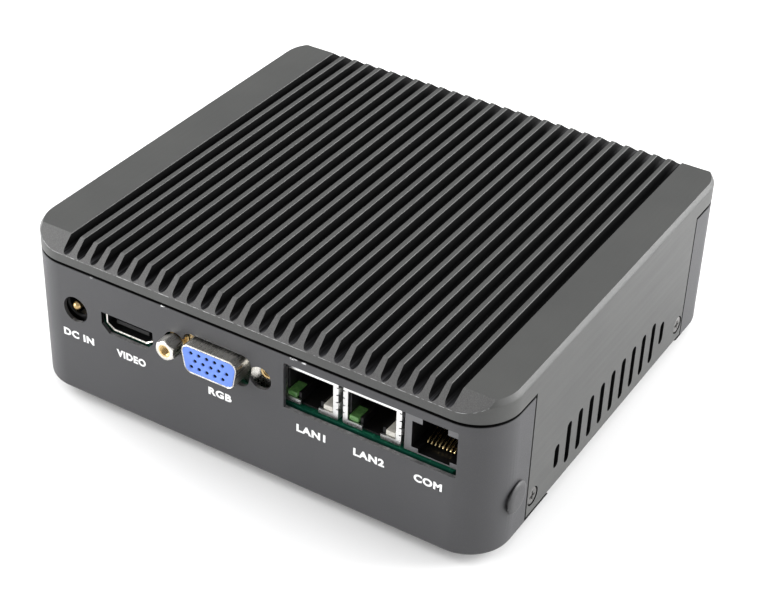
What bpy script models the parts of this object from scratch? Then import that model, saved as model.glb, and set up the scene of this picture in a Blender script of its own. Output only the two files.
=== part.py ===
"""Fanless firewall appliance: a finned aluminium cover over a folded tray that carries the sockets and the board.

Lengths are in millimetres and heights are above the tray's underside. build() turns them into metres and lifts
everything by the height of the feet. +X is to the right when facing the sockets, +Y is away from them, +Z is up.
"""

import math

import bmesh
import bpy

MM = 0.001
GAP = 0.3

# Housing
WIDTH = 134.0
DEPTH = 126.8
HEIGHT = 44.84
CORNER_R = 11.4
FOOT_H = 2.5
WALL = 1.0
FLOOR = 1.2
BOTTOM_ROUND = 1.2
SEAM_LOW = 38.0
SEAM_HIGH = 38.9
SEAM_Y = 44.7
SEAM_HALF = 0.3
FRONT = -DEPTH / 2
REAR = DEPTH / 2
INNER_FRONT = FRONT + WALL
INNER_REAR = REAR - WALL
SOCKET_FACE = FRONT + 2.3

# Finned cover
FINS = 26
FIN_PITCH = 4.13
FIN_SHIFT = 0.5
FIN_TOP = 1.3
FIN_FOOT = 1.75
SLOT_FLOOR = 41.5
RIM_CHAMFER_IN = 0.9
RIM_CHAMFER_DOWN = 1.4
SLAB_UNDER = 36.9
SKIRT = 1.2
SKIRT_LOW = 1.8
END_SLOPE_LOW = 41.34
END_SLOPE_IN = 4.8
VENTS = 11
VENT_PITCH = 6.03
VENT_W = 2.4
VENT_LOW = 4.8
VENT_HIGH = 17.2
VENT_END_LOW = 7.3
VENT_END_HIGH = 14.2

# Screws and plugs
SIDE_SCREW_Y = 41.6
SIDE_SCREW_Z = 6.5
PLUG_Y = -51.4
PLUG_Z = 13.5
PLUG_HOLE_R = 3.4
PLUG_HEAD_R = 4.15

# Board
BOARD_LOW = 21.7
BOARD_TOP = 22.9
SIT = BOARD_TOP + GAP
POST_X = 56.5
POST_Y = (-37.0, 40.0)

# Socket positions along X, heights and sizes
DC_X = -51.1
JACK_X = -52.0
DC_Z = 26.0
VIDEO_X = -35.0
RGB_X = -8.0
RGB_Z = 28.4
RGB_W = 16.8
RGB_H = 8.1
RGB_PROUD = 3.35
JACK_REACH = 12.5
JACK_PROUD = 4.0
LAN_LEFT = (9.0, 26.0)
LAN_W = 15.8
LAN_TOP = 33.75
LAN_SILL = 1.5
LAMP_W = 2.5
LAMP_H = 1.35
COM_LEFT = 42.6
COM_W = 15.8
CUT_X = (11.1, 57.5)
CUT_Z = (22.8, 35.75)
USB_X = (-12.0, 6.0, 24.0, 42.0)
USB_W = 14.5
USB_H = 7.1
BUTTON_X = -46.0
BUTTON_Z = 28.0
BUTTON_R = 4.0
BUTTON_TRAVEL = 0.8
LIGHT_X = (-34.0, -28.0)
LIGHT_Z = 27.5

BLACK_ANODISED = ((0.045, 0.046, 0.05), 0.5, 0.6)
BLACK_PAINT = ((0.07, 0.07, 0.075), 0.55, 0.2)
STEEL = ((0.62, 0.6, 0.56), 0.3, 1.0)
NICKEL = ((0.8, 0.79, 0.75), 0.25, 1.0)
GOLD = ((0.83, 0.62, 0.25), 0.25, 1.0)
BRASS = ((0.72, 0.6, 0.38), 0.35, 1.0)
BARE_ALUMINIUM = ((0.7, 0.71, 0.72), 0.4, 1.0)
RUBBER = ((0.02, 0.02, 0.02), 0.9, 0.0)
BLACK_PLASTIC = ((0.015, 0.015, 0.016), 0.45, 0.0)
GREY_PLASTIC = ((0.2, 0.2, 0.21), 0.5, 0.0)
BLUE_PLASTIC = ((0.1, 0.25, 0.85), 0.45, 0.0)
BOARD_GREEN = ((0.01, 0.12, 0.07), 0.45, 0.0)
GREEN_LENS = ((0.25, 0.6, 0.2), 0.3, 0.0)
CLEAR_LENS = ((0.8, 0.8, 0.76), 0.25, 0.0)


def clear_scene():
    for old in list(bpy.data.objects):
        bpy.data.objects.remove(old, do_unlink=True)


def material(name, look):
    colour, roughness, metallic = look
    mat = bpy.data.materials.new(name)
    mat.use_nodes = True
    shader = mat.node_tree.nodes["Principled BSDF"]
    shader.inputs["Base Color"].default_value = (*colour, 1.0)
    shader.inputs["Roughness"].default_value = roughness
    shader.inputs["Metallic"].default_value = metallic
    mat.diffuse_color = (*colour, 1.0)
    return mat


def rounded(left, low, right, high, radius, steps=3):
    """Rectangle outline with round corners, counter-clockwise from the lower right."""
    points = []
    corners = ((right, low, -90), (right, high, 0), (left, high, 90), (left, low, 180))
    for u, v, start in corners:
        cu = u - radius if u == right else u + radius
        cv = v - radius if v == high else v + radius
        for i in range(steps + 1):
            angle = math.radians(start + 90 * i / steps)
            points.append((cu + radius * math.cos(angle), cv + radius * math.sin(angle)))
    return points


def circle(u, v, radius, steps=20):
    turn = [2 * math.pi * (i + 0.5) / steps for i in range(steps)]
    return [(u + radius * math.cos(a), v + radius * math.sin(a)) for a in turn]


def box(left, low, right, high):
    return [(left, low), (right, low), (right, high), (left, high)]


def d_outline(x, z, width, height, radius=2.0, steps=3):
    """Outline of a D-shaped connector: wide at the top, its sides leaning in by 10 degrees."""
    lean = height * math.tan(math.radians(10))
    half = width / 2
    corners = [
        (x - half + lean, z - height / 2),
        (x + half - lean, z - height / 2),
        (x + half, z + height / 2),
        (x - half, z + height / 2),
    ]
    return round_corners(corners, radius, steps)


def round_corners(corners, radius, steps):
    points = []
    for i, here in enumerate(corners):
        before = corners[i - 1]
        after = corners[(i + 1) % len(corners)]
        back = math.atan2(before[1] - here[1], before[0] - here[0])
        ahead = math.atan2(after[1] - here[1], after[0] - here[0])
        half = ((back - ahead) % (2 * math.pi)) / 2
        middle = ahead + half
        reach = radius / math.sin(half)
        cu = here[0] + reach * math.cos(middle)
        cv = here[1] + reach * math.sin(middle)
        first = back + math.pi / 2
        sweep = math.pi - 2 * half
        for k in range(steps + 1):
            angle = first + sweep * k / steps
            points.append((cu + radius * math.cos(angle), cv + radius * math.sin(angle)))
    return points


def place(axis, u, v, along):
    if axis == "X":
        return (along, u, v)
    if axis == "Y":
        return (u, along, v)
    return (u, v, along)


def prism(bm, outline, axis, low, high):
    """Extrudes an outline, given across the axis, from low to high."""
    verts = [bm.verts.new(place(axis, u, v, low)) for u, v in outline]
    face = bm.faces.new(verts)
    grown = bmesh.ops.extrude_face_region(bm, geom=[face])["geom"]
    moved = [item for item in grown if isinstance(item, bmesh.types.BMVert)]
    bmesh.ops.translate(bm, verts=moved, vec=place(axis, 0, 0, high - low))


def lathe(bm, profile, axis, centre, steps=20):
    """Spins a closed profile of (radius, along) round a line through centre along the axis."""
    u, v = centre
    verts = [bm.verts.new(place(axis, u + radius, v, along)) for radius, along in profile]
    pairs = zip(verts, verts[1:] + verts[:1])
    edges = [bm.edges.new(pair) for pair in pairs]
    bmesh.ops.spin(
        bm,
        geom=verts + edges,
        cent=place(axis, u, v, 0),
        axis=place(axis, 0, 0, 1),
        angle=2 * math.pi,
        steps=steps,
        use_merge=True,
    )
    bmesh.ops.remove_doubles(bm, verts=bm.verts, dist=0.00001)
    loose = [edge for edge in bm.edges if not edge.link_faces]
    bmesh.ops.delete(bm, geom=loose, context="EDGES")


def shape(*prisms):
    bm = bmesh.new()
    for args in prisms:
        prism(bm, *args)
    return bm


def to_object(name, bm, pivot=(0, 0, 0)):
    bmesh.ops.recalc_face_normals(bm, faces=bm.faces)
    bmesh.ops.translate(bm, verts=bm.verts, vec=[-p for p in pivot])
    bmesh.ops.scale(bm, verts=bm.verts, vec=(MM, MM, MM))
    mesh = bpy.data.meshes.new(name)
    bm.to_mesh(mesh)
    bm.free()
    made = bpy.data.objects.new(name, mesh)
    made.location = (pivot[0] * MM, pivot[1] * MM, (pivot[2] + FOOT_H) * MM)
    bpy.context.scene.collection.objects.link(made)
    return made


def build(name, bm, look, pivot=(0, 0, 0), smooth=None):
    made = to_object(name, bm, pivot)
    made.data.materials.append(material(name, look))
    if smooth:
        made.data.shade_smooth()
        made.data.set_sharp_from_angle(angle=math.radians(smooth))
    return made


def combine(made, other, operation):
    """Adds or takes away a helper solid with a Boolean."""
    helper = to_object(f"{made.name}.{operation.lower()}{len(made.modifiers)}", other)
    helper.hide_render = True
    helper.display_type = "WIRE"
    step = made.modifiers.new(helper.name, "BOOLEAN")
    step.operation = operation
    step.solver = "EXACT"
    step.object = helper
    return made


def cut(made, *prisms):
    return combine(made, shape(*prisms), "DIFFERENCE")


def add(made, *prisms):
    return combine(made, shape(*prisms), "UNION")


def plan(inset, steps=6):
    half_w = WIDTH / 2 - inset
    half_d = DEPTH / 2 - inset
    return rounded(-half_w, -half_d, half_w, half_d, CORNER_R - inset, steps)


def end_ring(sign, inset, stop_y):
    """Everything outside the inset plan beyond stop_y, as one C-shaped outline."""
    inner = [(x, y) for x, y in plan(inset) if y * sign > stop_y]
    inner.sort(key=lambda point: (point[0], -point[1] * sign if point[0] > 0 else point[1] * sign))
    far = WIDTH / 2 + 6
    deep = sign * (DEPTH / 2 + 6)
    edge = sign * stop_y
    half = WIDTH / 2 - inset
    return [(-far, edge), (-half, edge), *inner, (half, edge), (far, edge), (far, deep), (-far, deep)]


def vent_outline(index):
    y = (index - (VENTS - 1) / 2) * VENT_PITCH
    short = index in (0, VENTS - 1)
    low = VENT_END_LOW if short else VENT_LOW
    high = VENT_END_HIGH if short else VENT_HIGH
    return rounded(y - VENT_W / 2, low, y + VENT_W / 2, high, VENT_W / 2 - 0.001, 3)


def fin_profile():
    """Section across the fins: skirts, side bands and a comb of round-bottomed slots."""
    half = WIDTH / 2
    inside = half - SKIRT
    points = [(half, SKIRT_LOW), (half, HEIGHT)]
    slot_top = (FIN_PITCH - FIN_TOP) / 2
    slot_foot = (FIN_PITCH - FIN_FOOT) / 2
    for i in range(FINS + 1):
        x = (FINS / 2 - i) * FIN_PITCH + FIN_SHIFT
        points.append((x + slot_top, HEIGHT))
        for k in range(5):
            angle = -math.pi * k / 4
            u = x + slot_foot * math.cos(angle)
            points.append((u, SLOT_FLOOR + slot_foot + slot_foot * math.sin(angle)))
        points.append((x - slot_top, HEIGHT))
    points += [
        (-half, HEIGHT),
        (-half, SKIRT_LOW),
        (-inside, SKIRT_LOW),
        (-inside, SLAB_UNDER),
        (inside, SLAB_UNDER),
        (inside, SKIRT_LOW),
    ]
    return points


def screw_seat(bm, sign, y, z, extra):
    """Countersunk screw's envelope in a side skirt, grown by extra."""
    face = WIDTH / 2
    r_head = 2.25 + extra
    r_shaft = 1.25 + extra
    outer = face + (1 if extra else -0.15)
    tip = face - 7 - extra
    profile = [(0, sign * outer), (r_head, sign * outer), (r_head, sign * (face - 0.45))]
    profile += [(r_shaft, sign * (face - 1.5)), (r_shaft, sign * tip), (0, sign * tip)]
    lathe(bm, profile, "X", (y, z), 18)


def cover_envelope():
    """Round-cornered block that the cover is trimmed to, leaning in above the rim chamfer's lower edge."""
    bm = bmesh.new()
    levels = [
        (-3, 0),
        (HEIGHT - RIM_CHAMFER_DOWN, 0),
        (HEIGHT + RIM_CHAMFER_DOWN, 2 * RIM_CHAMFER_IN),
    ]
    rings = [[bm.verts.new((x, y, z)) for x, y in plan(inset)] for z, inset in levels]
    for low, high in zip(rings, rings[1:]):
        for i in range(len(low)):
            bm.faces.new((low[i - 1], low[i], high[i], high[i - 1]))
    bm.faces.new(rings[0])
    bm.faces.new(rings[-1])
    return bm


def make_cover():
    made = build("heatsink_cover", shape((fin_profile(), "Y", FRONT - 3, REAR + 3)), BLACK_ANODISED)
    combine(made, cover_envelope(), "INTERSECT")
    front = end_ring(-1, WALL + 0.4, SEAM_Y - SEAM_HALF)
    rear = end_ring(1, WALL + 0.4, SEAM_Y - SEAM_HALF)
    cut(made, (front, "Z", -5, SEAM_HIGH), (rear, "Z", -5, SEAM_HIGH))
    rise = (HEIGHT - END_SLOPE_LOW) / END_SLOPE_IN
    top = HEIGHT + 6
    for sign in (-1, 1):
        edge = sign * (DEPTH / 2 + 1)
        back = sign * (DEPTH / 2 - (top - END_SLOPE_LOW) / rise)
        wedge = [(edge, END_SLOPE_LOW - rise), (back, top), (edge, top)]
        cut(made, (wedge, "X", -WIDTH, WIDTH))
    vents = []
    for sign in (-1, 1):
        sides = sorted((sign * (WIDTH / 2 - SKIRT - 1), sign * (WIDTH / 2 + 1)))
        vents += [(vent_outline(i), "X", *sides) for i in range(VENTS)]
    cut(made, *vents)
    seats = bmesh.new()
    for sign in (-1, 1):
        for y in (-SIDE_SCREW_Y, SIDE_SCREW_Y):
            screw_seat(seats, sign, y, SIDE_SCREW_Z, GAP)
    return combine(made, seats, "DIFFERENCE")


def tray_cavity():
    """Plan of the space inside the tray: it leaves both ends and four screw tabs, and opens out at the sides."""
    inner_x = WIDTH / 2 - WALL
    skirt_x = WIDTH / 2 - SKIRT - GAP
    tab_x = skirt_x - 1.8
    edge = SEAM_Y + SEAM_HALF
    root = edge + 3
    tip = SIDE_SCREW_Y - 3.6
    side = [(tab_x, root), (tab_x, tip), (skirt_x, tip), (skirt_x, edge), (WIDTH, edge)]
    corner = [(x, y) for x, y in plan(WALL) if x > 0 and y > 0]
    corner.sort(key=lambda point: -point[1] * 100 + point[0])
    quarter = corner + [(inner_x, root)] + side
    points = [(x, y) for x, y in quarter]
    points += [(x, -y) for x, y in reversed(quarter)]
    points += [(-x, -y) for x, y in quarter]
    points += [(-x, y) for x, y in reversed(quarter)]
    return points


def video_outline(grow):
    """Six-sided opening of the digital video socket, cut at its lower corners."""
    half = 7.45 + grow
    top = 28.25 + grow
    low = 23.4 - grow
    return [
        (VIDEO_X - half, top),
        (VIDEO_X - half, 25.15),
        (VIDEO_X - half + 2.2, low),
        (VIDEO_X + half - 2.2, low),
        (VIDEO_X + half, 25.15),
        (VIDEO_X + half, top),
    ]


def make_tray():
    bm = shape((plan(0), "Z", 0, SEAM_LOW))
    rim = [e for e in bm.edges if abs(e.verts[0].co.z) < 0.01 and abs(e.verts[1].co.z) < 0.01]
    bmesh.ops.bevel(bm, geom=rim, offset=BOTTOM_ROUND, segments=2, profile=0.5, affect="EDGES")
    made = build("chassis_tray", bm, BLACK_PAINT)
    cut(made, (tray_cavity(), "Z", FLOOR, HEIGHT))
    strips = []
    for sign in (-1, 1):
        sides = sorted((sign * (WIDTH / 2 - 1.3), sign * (WIDTH / 2 + 2)))
        strips.append((box(sides[0], -33.0, sides[1], 43.0), "Z", -1, FLOOR + 1))
        inner = sorted((sign * (WIDTH / 2 - WALL - 5), sign * (WIDTH / 2 - SKIRT - GAP + 0.1)))
        for y in (-SEAM_Y, SEAM_Y):
            strips.append((box(inner[0], y - 8, inner[1], y + 8), "Z", SLAB_UNDER - 0.4, SEAM_LOW + 1))
    cut(made, *strips)
    out = FRONT - 3
    inside = INNER_FRONT + 2
    front = [
        (circle(DC_X, DC_Z, 3.7), "Y", out, inside),
        (video_outline(0.45), "Y", out, inside),
        (d_outline(RGB_X, RGB_Z, 21.0, 9.2, 2.6), "Y", out, inside),
        (rounded(CUT_X[0], CUT_Z[0], CUT_X[1], CUT_Z[1], 0.4, 2), "Y", out, inside),
    ]
    lobes = [(circle(RGB_X + side * JACK_REACH, RGB_Z, 3.15, 16), "Y", out, inside) for side in (-1, 1)]
    out = REAR + 3
    inside = INNER_REAR - 2
    rear = [(circle(BUTTON_X, BUTTON_Z, BUTTON_R + GAP, 24), "Y", inside, out)]
    for x in LIGHT_X:
        rear.append((circle(x, LIGHT_Z, 1.3, 12), "Y", inside, out))
    for x in USB_X:
        half = USB_W / 2 + GAP
        hole = rounded(x - half, SIT - GAP, x + half, SIT + USB_H + GAP, 0.5, 2)
        rear.append((hole, "Y", inside, out))
    sides = []
    for sign in (-1, 1):
        span = sorted((sign * (WIDTH / 2 - WALL - 2), sign * (WIDTH / 2 + 2)))
        sides.append((circle(PLUG_Y, PLUG_Z, PLUG_HOLE_R, 20), "X", *span))
        tabs = sorted((sign * (WIDTH / 2 - SKIRT - 3), sign * (WIDTH / 2 - SKIRT)))
        for y in (-SIDE_SCREW_Y, SIDE_SCREW_Y):
            sides.append((circle(y, SIDE_SCREW_Z, 1.55, 12), "X", *tabs))
    cut(made, *front, *rear, *sides)
    cut(made, *lobes)


def cross_slot(made, axis, centre, face, depth):
    """Cross recess in a screw head; depth is signed along the axis."""
    u, v = centre
    ends = sorted((face + 0.5 * math.copysign(1, -depth), face + depth))
    arm = 1.25
    thin = 0.3
    points = [(arm, -thin), (arm, thin), (thin, thin), (thin, arm), (-thin, arm), (-thin, thin)]
    points += [(-arm, thin), (-arm, -thin), (-thin, -thin), (-thin, -arm), (thin, -arm), (thin, -thin)]
    cut(made, ([(u + a, v + b) for a, b in points], axis, *ends))


def make_side_screws():
    for sign, side in ((-1, "left"), (1, "right")):
        for y, end in ((-SIDE_SCREW_Y, "front"), (SIDE_SCREW_Y, "rear")):
            bm = bmesh.new()
            screw_seat(bm, sign, y, SIDE_SCREW_Z, 0)
            made = build(f"cover_screw_{side}_{end}", bm, STEEL, smooth=30)
            face = sign * (WIDTH / 2 - 0.15)
            cross_slot(made, "X", (y, SIDE_SCREW_Z), face, -sign * 1.0)


def make_plugs():
    for sign, side in ((-1, "left"), (1, "right")):
        face = WIDTH / 2 + GAP
        profile = [
            (0, face + 0.9),
            (PLUG_HEAD_R - 0.9, face + 0.8),
            (PLUG_HEAD_R, face + 0.3),
            (PLUG_HEAD_R, face),
            (PLUG_HOLE_R - GAP, face),
            (PLUG_HOLE_R - GAP, face - 3.4),
            (0, face - 3.4),
        ]
        bm = bmesh.new()
        lathe(bm, [(r, sign * along) for r, along in profile], "X", (PLUG_Y, PLUG_Z), 24)
        build(f"antenna_plug_{side}", bm, BLACK_PLASTIC, smooth=30)


def make_feet():
    for x, side in ((-48.0, "left"), (48.0, "right")):
        for y, end in ((-46.0, "front"), (46.0, "rear")):
            bm = bmesh.new()
            profile = [(0, -GAP), (5.5, -GAP), (5.0, -FOOT_H + 0.4), (4.6, -FOOT_H), (0, -FOOT_H)]
            lathe(bm, profile, "Z", (x, y), 20)
            build(f"foot_{side}_{end}", bm, RUBBER, smooth=30)


def make_board():
    half_w = 61.0
    front = SOCKET_FACE - 0.3
    rear = INNER_REAR - 1.9
    step = 5.2
    notch = (JACK_X - 5.0, JACK_X + 5.0)
    outline = [
        (-half_w, front + step),
        (-half_w + 4.2, front + 1.0),
        (notch[0], front + 1.0),
        (notch[0], front + 15.0),
        (notch[1], front + 15.0),
        (notch[1], front),
        (half_w - step, front),
        (half_w, front + step),
        (half_w, rear - step),
        (half_w - step, rear),
        (-half_w + step, rear),
        (-half_w, rear - step),
    ]
    made = build("main_board", shape((outline, "Z", BOARD_LOW, BOARD_TOP)), BOARD_GREEN)
    holes = []
    for x in (-POST_X, POST_X):
        for y in POST_Y:
            holes.append((circle(x, y, 1.6, 12), "Z", BOARD_LOW - 1, BOARD_TOP + 1))
    cut(made, *holes)


def make_posts():
    for x, side in ((-POST_X, "left"), (POST_X, "right")):
        for y, end in zip(POST_Y, ("front", "rear")):
            hexagon = circle(x, y, 5.5 / math.sqrt(3), 6)
            foot = FLOOR + GAP
            post = shape((hexagon, "Z", foot, BOARD_LOW - GAP))
            made = build(f"board_post_{side}_{end}", post, BRASS)
            cut(made, (circle(x, y, 1.5, 12), "Z", BOARD_LOW - 9, BOARD_LOW + 1))
            low = SIT
            profile = [(0, low + 1.7), (1.8, low + 1.5), (2.7, low + 0.8), (2.7, low)]
            profile += [(1.2, low), (1.2, low - 7.5), (0, low - 7.5)]
            bm = bmesh.new()
            lathe(bm, profile, "Z", (x, y), 18)
            screw = build(f"board_screw_{side}_{end}", bm, STEEL, smooth=30)
            cross_slot(screw, "Z", (x, y), low + 1.7, -0.9)


def make_heat_path():
    build("processor", shape((box(-12.5, -7, 12.5, 17), "Z", SIT, SIT + 1.2)), BLACK_PLASTIC)
    low = SIT + 1.5
    block = shape((rounded(-20, -12, 20, 22, 1.5, 2), "Z", low, SLAB_UNDER - GAP))
    build("heat_block", block, BARE_ALUMINIUM)


def make_card(socket_name, card_name, x, y, card, bar, arms):
    """A card lying under the board with one edge in a socket, its arms along the card's sides."""
    width, length, thick = card
    high = BOARD_LOW - GAP
    middle = high - 2.4
    front = y - length / 2
    half = bar / 2
    outline = [(x - half, front - 3), (x + half, front - 3)]
    if arms:
        outline += [(x + half, front + arms), (x + width / 2 + GAP, front + arms)]
        outline += [(x + width / 2 + GAP, front + 4), (x - width / 2 - GAP, front + 4)]
        outline += [(x - width / 2 - GAP, front + arms), (x - half, front + arms)]
    else:
        outline += [(x + half, front + 4), (x - half, front + 4)]
    socket = build(socket_name, shape((outline, "Z", high - 4.6, high)), BLACK_PLASTIC)
    slot = box(x - width / 2 - GAP, front - GAP, x + width / 2 + GAP, front + 6)
    cut(socket, (slot, "Z", middle - thick / 2 - GAP, middle + thick / 2 + GAP))
    board = box(x - width / 2, front, x + width / 2, y + length / 2)
    build(card_name, shape((board, "Z", middle - thick / 2, middle + thick / 2)), BOARD_GREEN)


def make_coin_cell():
    x, y = (-38.0, -24.0)
    bm = bmesh.new()
    profile = [(0, SIT), (11.6, SIT), (11.6, SIT + 4.2), (10.3, SIT + 4.2), (10.3, SIT + 0.9), (0, SIT + 0.9)]
    lathe(bm, profile, "Z", (x, y), 24)
    build("coin_cell_holder", bm, BLACK_PLASTIC, smooth=30)
    bm = bmesh.new()
    low = SIT + 0.9 + GAP
    lathe(bm, [(0, low), (10, low), (10, low + 3.0), (9.7, low + 3.2), (0, low + 3.2)], "Z", (x, y), 24)
    build("coin_cell", bm, STEEL, smooth=30)


def make_dc_jack():
    face = SOCKET_FACE
    back = face + 14.0
    body = shape((rounded(JACK_X - 4.5, DC_Z - 4.5, JACK_X + 4.5, DC_Z + 4.5, 0.6, 2), "Y", face, back))
    made = build("dc_jack_body", body, BLACK_PLASTIC)
    cut(made, (circle(JACK_X, DC_Z, 3.1, 20), "Y", face - 1, face + 10.0))
    bm = bmesh.new()
    tip = FRONT + 0.8
    root = face + 10.0 - GAP
    profile = [(0, tip), (0.8, tip), (1.2, tip + 0.5), (1.2, root), (0, root)]
    lathe(bm, profile, "Y", (JACK_X, DC_Z), 14)
    build("dc_jack_pin", bm, BRASS, smooth=30)


def make_video_socket():
    lip = FRONT + 1.1
    back = INNER_FRONT + 11.5
    made = build("video_shell", shape((video_outline(0), "Y", lip, back)), NICKEL)
    cut(made, (video_outline(-0.45), "Y", lip - 1, back - 0.45))
    tongue = [
        (lip + 1.2, 26.3),
        (back - 3.0, 26.3),
        (back - 3.0, 27.3),
        (back - 0.8, 27.3),
        (back - 0.8, 24.0),
        (back - 3.0, 24.0),
        (back - 3.0, 25.0),
        (lip + 1.2, 25.0),
    ]
    blade = shape((tongue, "X", VIDEO_X - 5.0, VIDEO_X + 5.0))
    build("video_tongue", blade, BLACK_PLASTIC)


def make_rgb_socket():
    face = FRONT + 2.8
    mouth = FRONT - RGB_PROUD
    plate = rounded(RGB_X - 15.4, SIT, RGB_X + 15.4, RGB_Z + 6.2, 0.8, 2)
    made = build("rgb_shell", shape((plate, "Y", face, face + 0.8)), NICKEL)
    add(made, (d_outline(RGB_X, RGB_Z, RGB_W, RGB_H, 2.2), "Y", mouth, face + 0.4))
    holes = [(d_outline(RGB_X, RGB_Z, RGB_W - 1.0, RGB_H - 1.0, 1.7), "Y", mouth - 1, face + 2)]
    for side in (-1, 1):
        holes.append((circle(RGB_X + side * JACK_REACH, RGB_Z, 1.75, 12), "Y", face - 1, face + 2))
    cut(made, *holes)
    back = face + 0.8 + GAP
    insert = shape((d_outline(RGB_X, RGB_Z, RGB_W - 1.6, RGB_H - 1.6, 1.5), "Y", mouth + 0.35, back + 1))
    body = build("rgb_insert", insert, BLUE_PLASTIC)
    add(body, (box(RGB_X - 15.2, SIT, RGB_X + 15.2, RGB_Z + 6.0), "Y", back, back + 9.0))
    pins = []
    for row in range(3):
        for k in range(5):
            x = RGB_X + (k - 2) * 2.29 + (0.6 if row == 1 else -0.55)
            z = RGB_Z + (1 - row) * 1.98
            pins.append((circle(x, z, 0.45, 6), "Y", mouth, mouth + 3.5))
    for side in (-1, 1):
        hole = circle(RGB_X + side * JACK_REACH, RGB_Z, 1.75, 12)
        pins.append((hole, "Y", back - 1, back + 5))
    cut(body, *pins)


def make_jackscrew():
    """Hexagonal standoff beside the video connector; its twin is missing and leaves an open threaded hole."""
    x = RGB_X - JACK_REACH
    tip = FRONT - JACK_PROUD
    root = FRONT + 2.8 - GAP
    hexagon = circle(x, RGB_Z, 5.0 / math.sqrt(3), 6)
    screw = build("jackscrew_left", shape((hexagon, "Y", tip, root)), NICKEL)
    add(screw, (circle(x, RGB_Z, 1.4, 12), "Y", root - 1, root + 5))
    cut(screw, (circle(x, RGB_Z, 1.6, 12), "Y", tip - 1, tip + 2.4))


def make_lan(left, number):
    face = SOCKET_FACE
    back = face + 21.0
    right = left + LAN_W
    middle = left + LAN_W / 2
    shield = shape((box(left, SIT, right, LAN_TOP), "Y", face, back))
    made = build(f"lan{number}_shield", shield, NICKEL)
    cut(made, (box(left + 0.5, SIT - 2, right - 0.5, LAN_TOP - 0.5), "Y", face + 0.5, back - 0.5))
    mouth = [
        (left + 1.4, LAN_TOP - 0.7),
        (left + 1.4, SIT + LAN_SILL),
        (middle - 2.5, SIT + LAN_SILL),
        (middle - 2.5, SIT - 1),
        (middle + 2.5, SIT - 1),
        (middle + 2.5, SIT + LAN_SILL),
        (right - 1.4, SIT + LAN_SILL),
        (right - 1.4, LAN_TOP - 0.7),
    ]
    cut(made, (mouth, "Y", face - 1, face + 0.8))
    outside = box(left + 0.8, SIT, right - 0.8, LAN_TOP - 0.8)
    core = shape((outside, "Y", face + 0.8, back - 0.8))
    insert = build(f"lan{number}_insert", core, BLACK_PLASTIC)
    cavity = [
        (middle - 5.95, LAN_TOP - 1.3),
        (middle - 5.95, SIT + 3.1),
        (middle - 2.7, SIT + 3.1),
        (middle - 2.7, SIT + 0.5),
        (middle + 2.7, SIT + 0.5),
        (middle + 2.7, SIT + 3.1),
        (middle + 5.95, SIT + 3.1),
        (middle + 5.95, LAN_TOP - 1.3),
    ]
    cut(insert, (cavity, "Y", face - 1, face + 14.0))
    low = SIT + LAN_SILL + GAP / 2
    front = face + GAP
    pockets = []
    lamps = []
    for start, lamp in ((left + 1.4 + GAP, "link"), (right - 1.4 - GAP - LAMP_W, "activity")):
        inner = start + LAMP_W + GAP if lamp == "link" else start - GAP
        outer = left - 1 if lamp == "link" else right + 1
        sides = sorted((inner, outer))
        pockets.append((box(sides[0], SIT - 1, sides[1], low + LAMP_H + GAP), "Y", face, front + 4.3 + GAP))
        lamps.append((start, lamp))
    cut(insert, *pockets)
    for start, lamp in lamps:
        look = GREEN_LENS if lamp == "link" else CLEAR_LENS
        lens = shape((box(start, low, start + LAMP_W, low + LAMP_H), "Y", front, front + 4.3))
        build(f"lan{number}_{lamp}_light", lens, look)


def make_com():
    face = SOCKET_FACE
    back = face + 18.0
    right = COM_LEFT + COM_W
    middle = COM_LEFT + COM_W / 2
    body = [(COM_LEFT, face), (right - 1.4, face), (right, face + 1.0), (right, back), (COM_LEFT, back)]
    made = build("com_socket_body", shape((body, "Z", SIT, 35.6)), GREY_PLASTIC)
    mouth = [
        (middle - 5.95, SIT + 1.5),
        (middle - 4.15, SIT + 1.5),
        (middle - 4.15, SIT + 0.5),
        (middle + 4.15, SIT + 0.5),
        (middle + 4.15, SIT + 1.5),
        (middle + 5.95, SIT + 1.5),
        (middle + 5.95, 32.1),
        (middle + 3.3, 32.1),
        (middle + 3.3, 34.1),
        (middle - 3.3, 34.1),
        (middle - 3.3, 32.1),
        (middle - 5.95, 32.1),
    ]
    cut(made, (mouth, "Y", face - 1, face + 13.5))
    bottom = SIT + 0.5 + GAP
    front = face + 3.0
    bar = face + 12.2
    bm = shape((box(middle - 3.7, bottom, middle + 3.7, bottom + 1.0), "Y", bar, bar + 1.0))
    comb = build("com_contacts", bm, GOLD)
    tines = []
    side = [
        (front, bottom + 0.7),
        (front + 0.5, bottom + 1.3),
        (bar - 1.5, bottom + 2.9),
        (bar - 1.1, bottom + 2.6),
        (front + 0.8, bottom + 0.75),
        (front + 1.5, bottom + 0.4),
        (bar + 0.4, bottom + 0.6),
        (bar + 0.4, bottom),
        (front + 0.6, bottom),
    ]
    for k in range(8):
        x = middle + (k - 3.5) * 1.016
        tines.append((side, "X", x - 0.25, x + 0.25))
    add(comb, *tines)


def make_usb():
    for number, x in enumerate(USB_X, 1):
        mouth = REAR - 0.3
        back = mouth - 16.5
        half = USB_W / 2
        high = SIT + USB_H
        shell = shape((rounded(x - half, SIT, x + half, high, 0.4, 2), "Y", back, mouth))
        made = build(f"usb_shell_{number}", shell, NICKEL)
        hole = box(x - half + 0.5, SIT + 0.5, x + half - 0.5, high - 0.5)
        cut(made, (hole, "Y", back + 0.5, mouth + 1))
        middle = SIT + USB_H / 2
        tongue = [
            (back + 0.8, middle - 2.5),
            (back + 4.5, middle - 2.5),
            (back + 4.5, middle + 0.6),
            (mouth - 1.0, middle + 0.6),
            (mouth - 1.0, middle + 2.3),
            (back + 0.8, middle + 2.3),
        ]
        look = BLUE_PLASTIC if number < 3 else BLACK_PLASTIC
        build(f"usb_tongue_{number}", shape((tongue, "X", x - 5.6, x + 5.6)), look)


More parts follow.
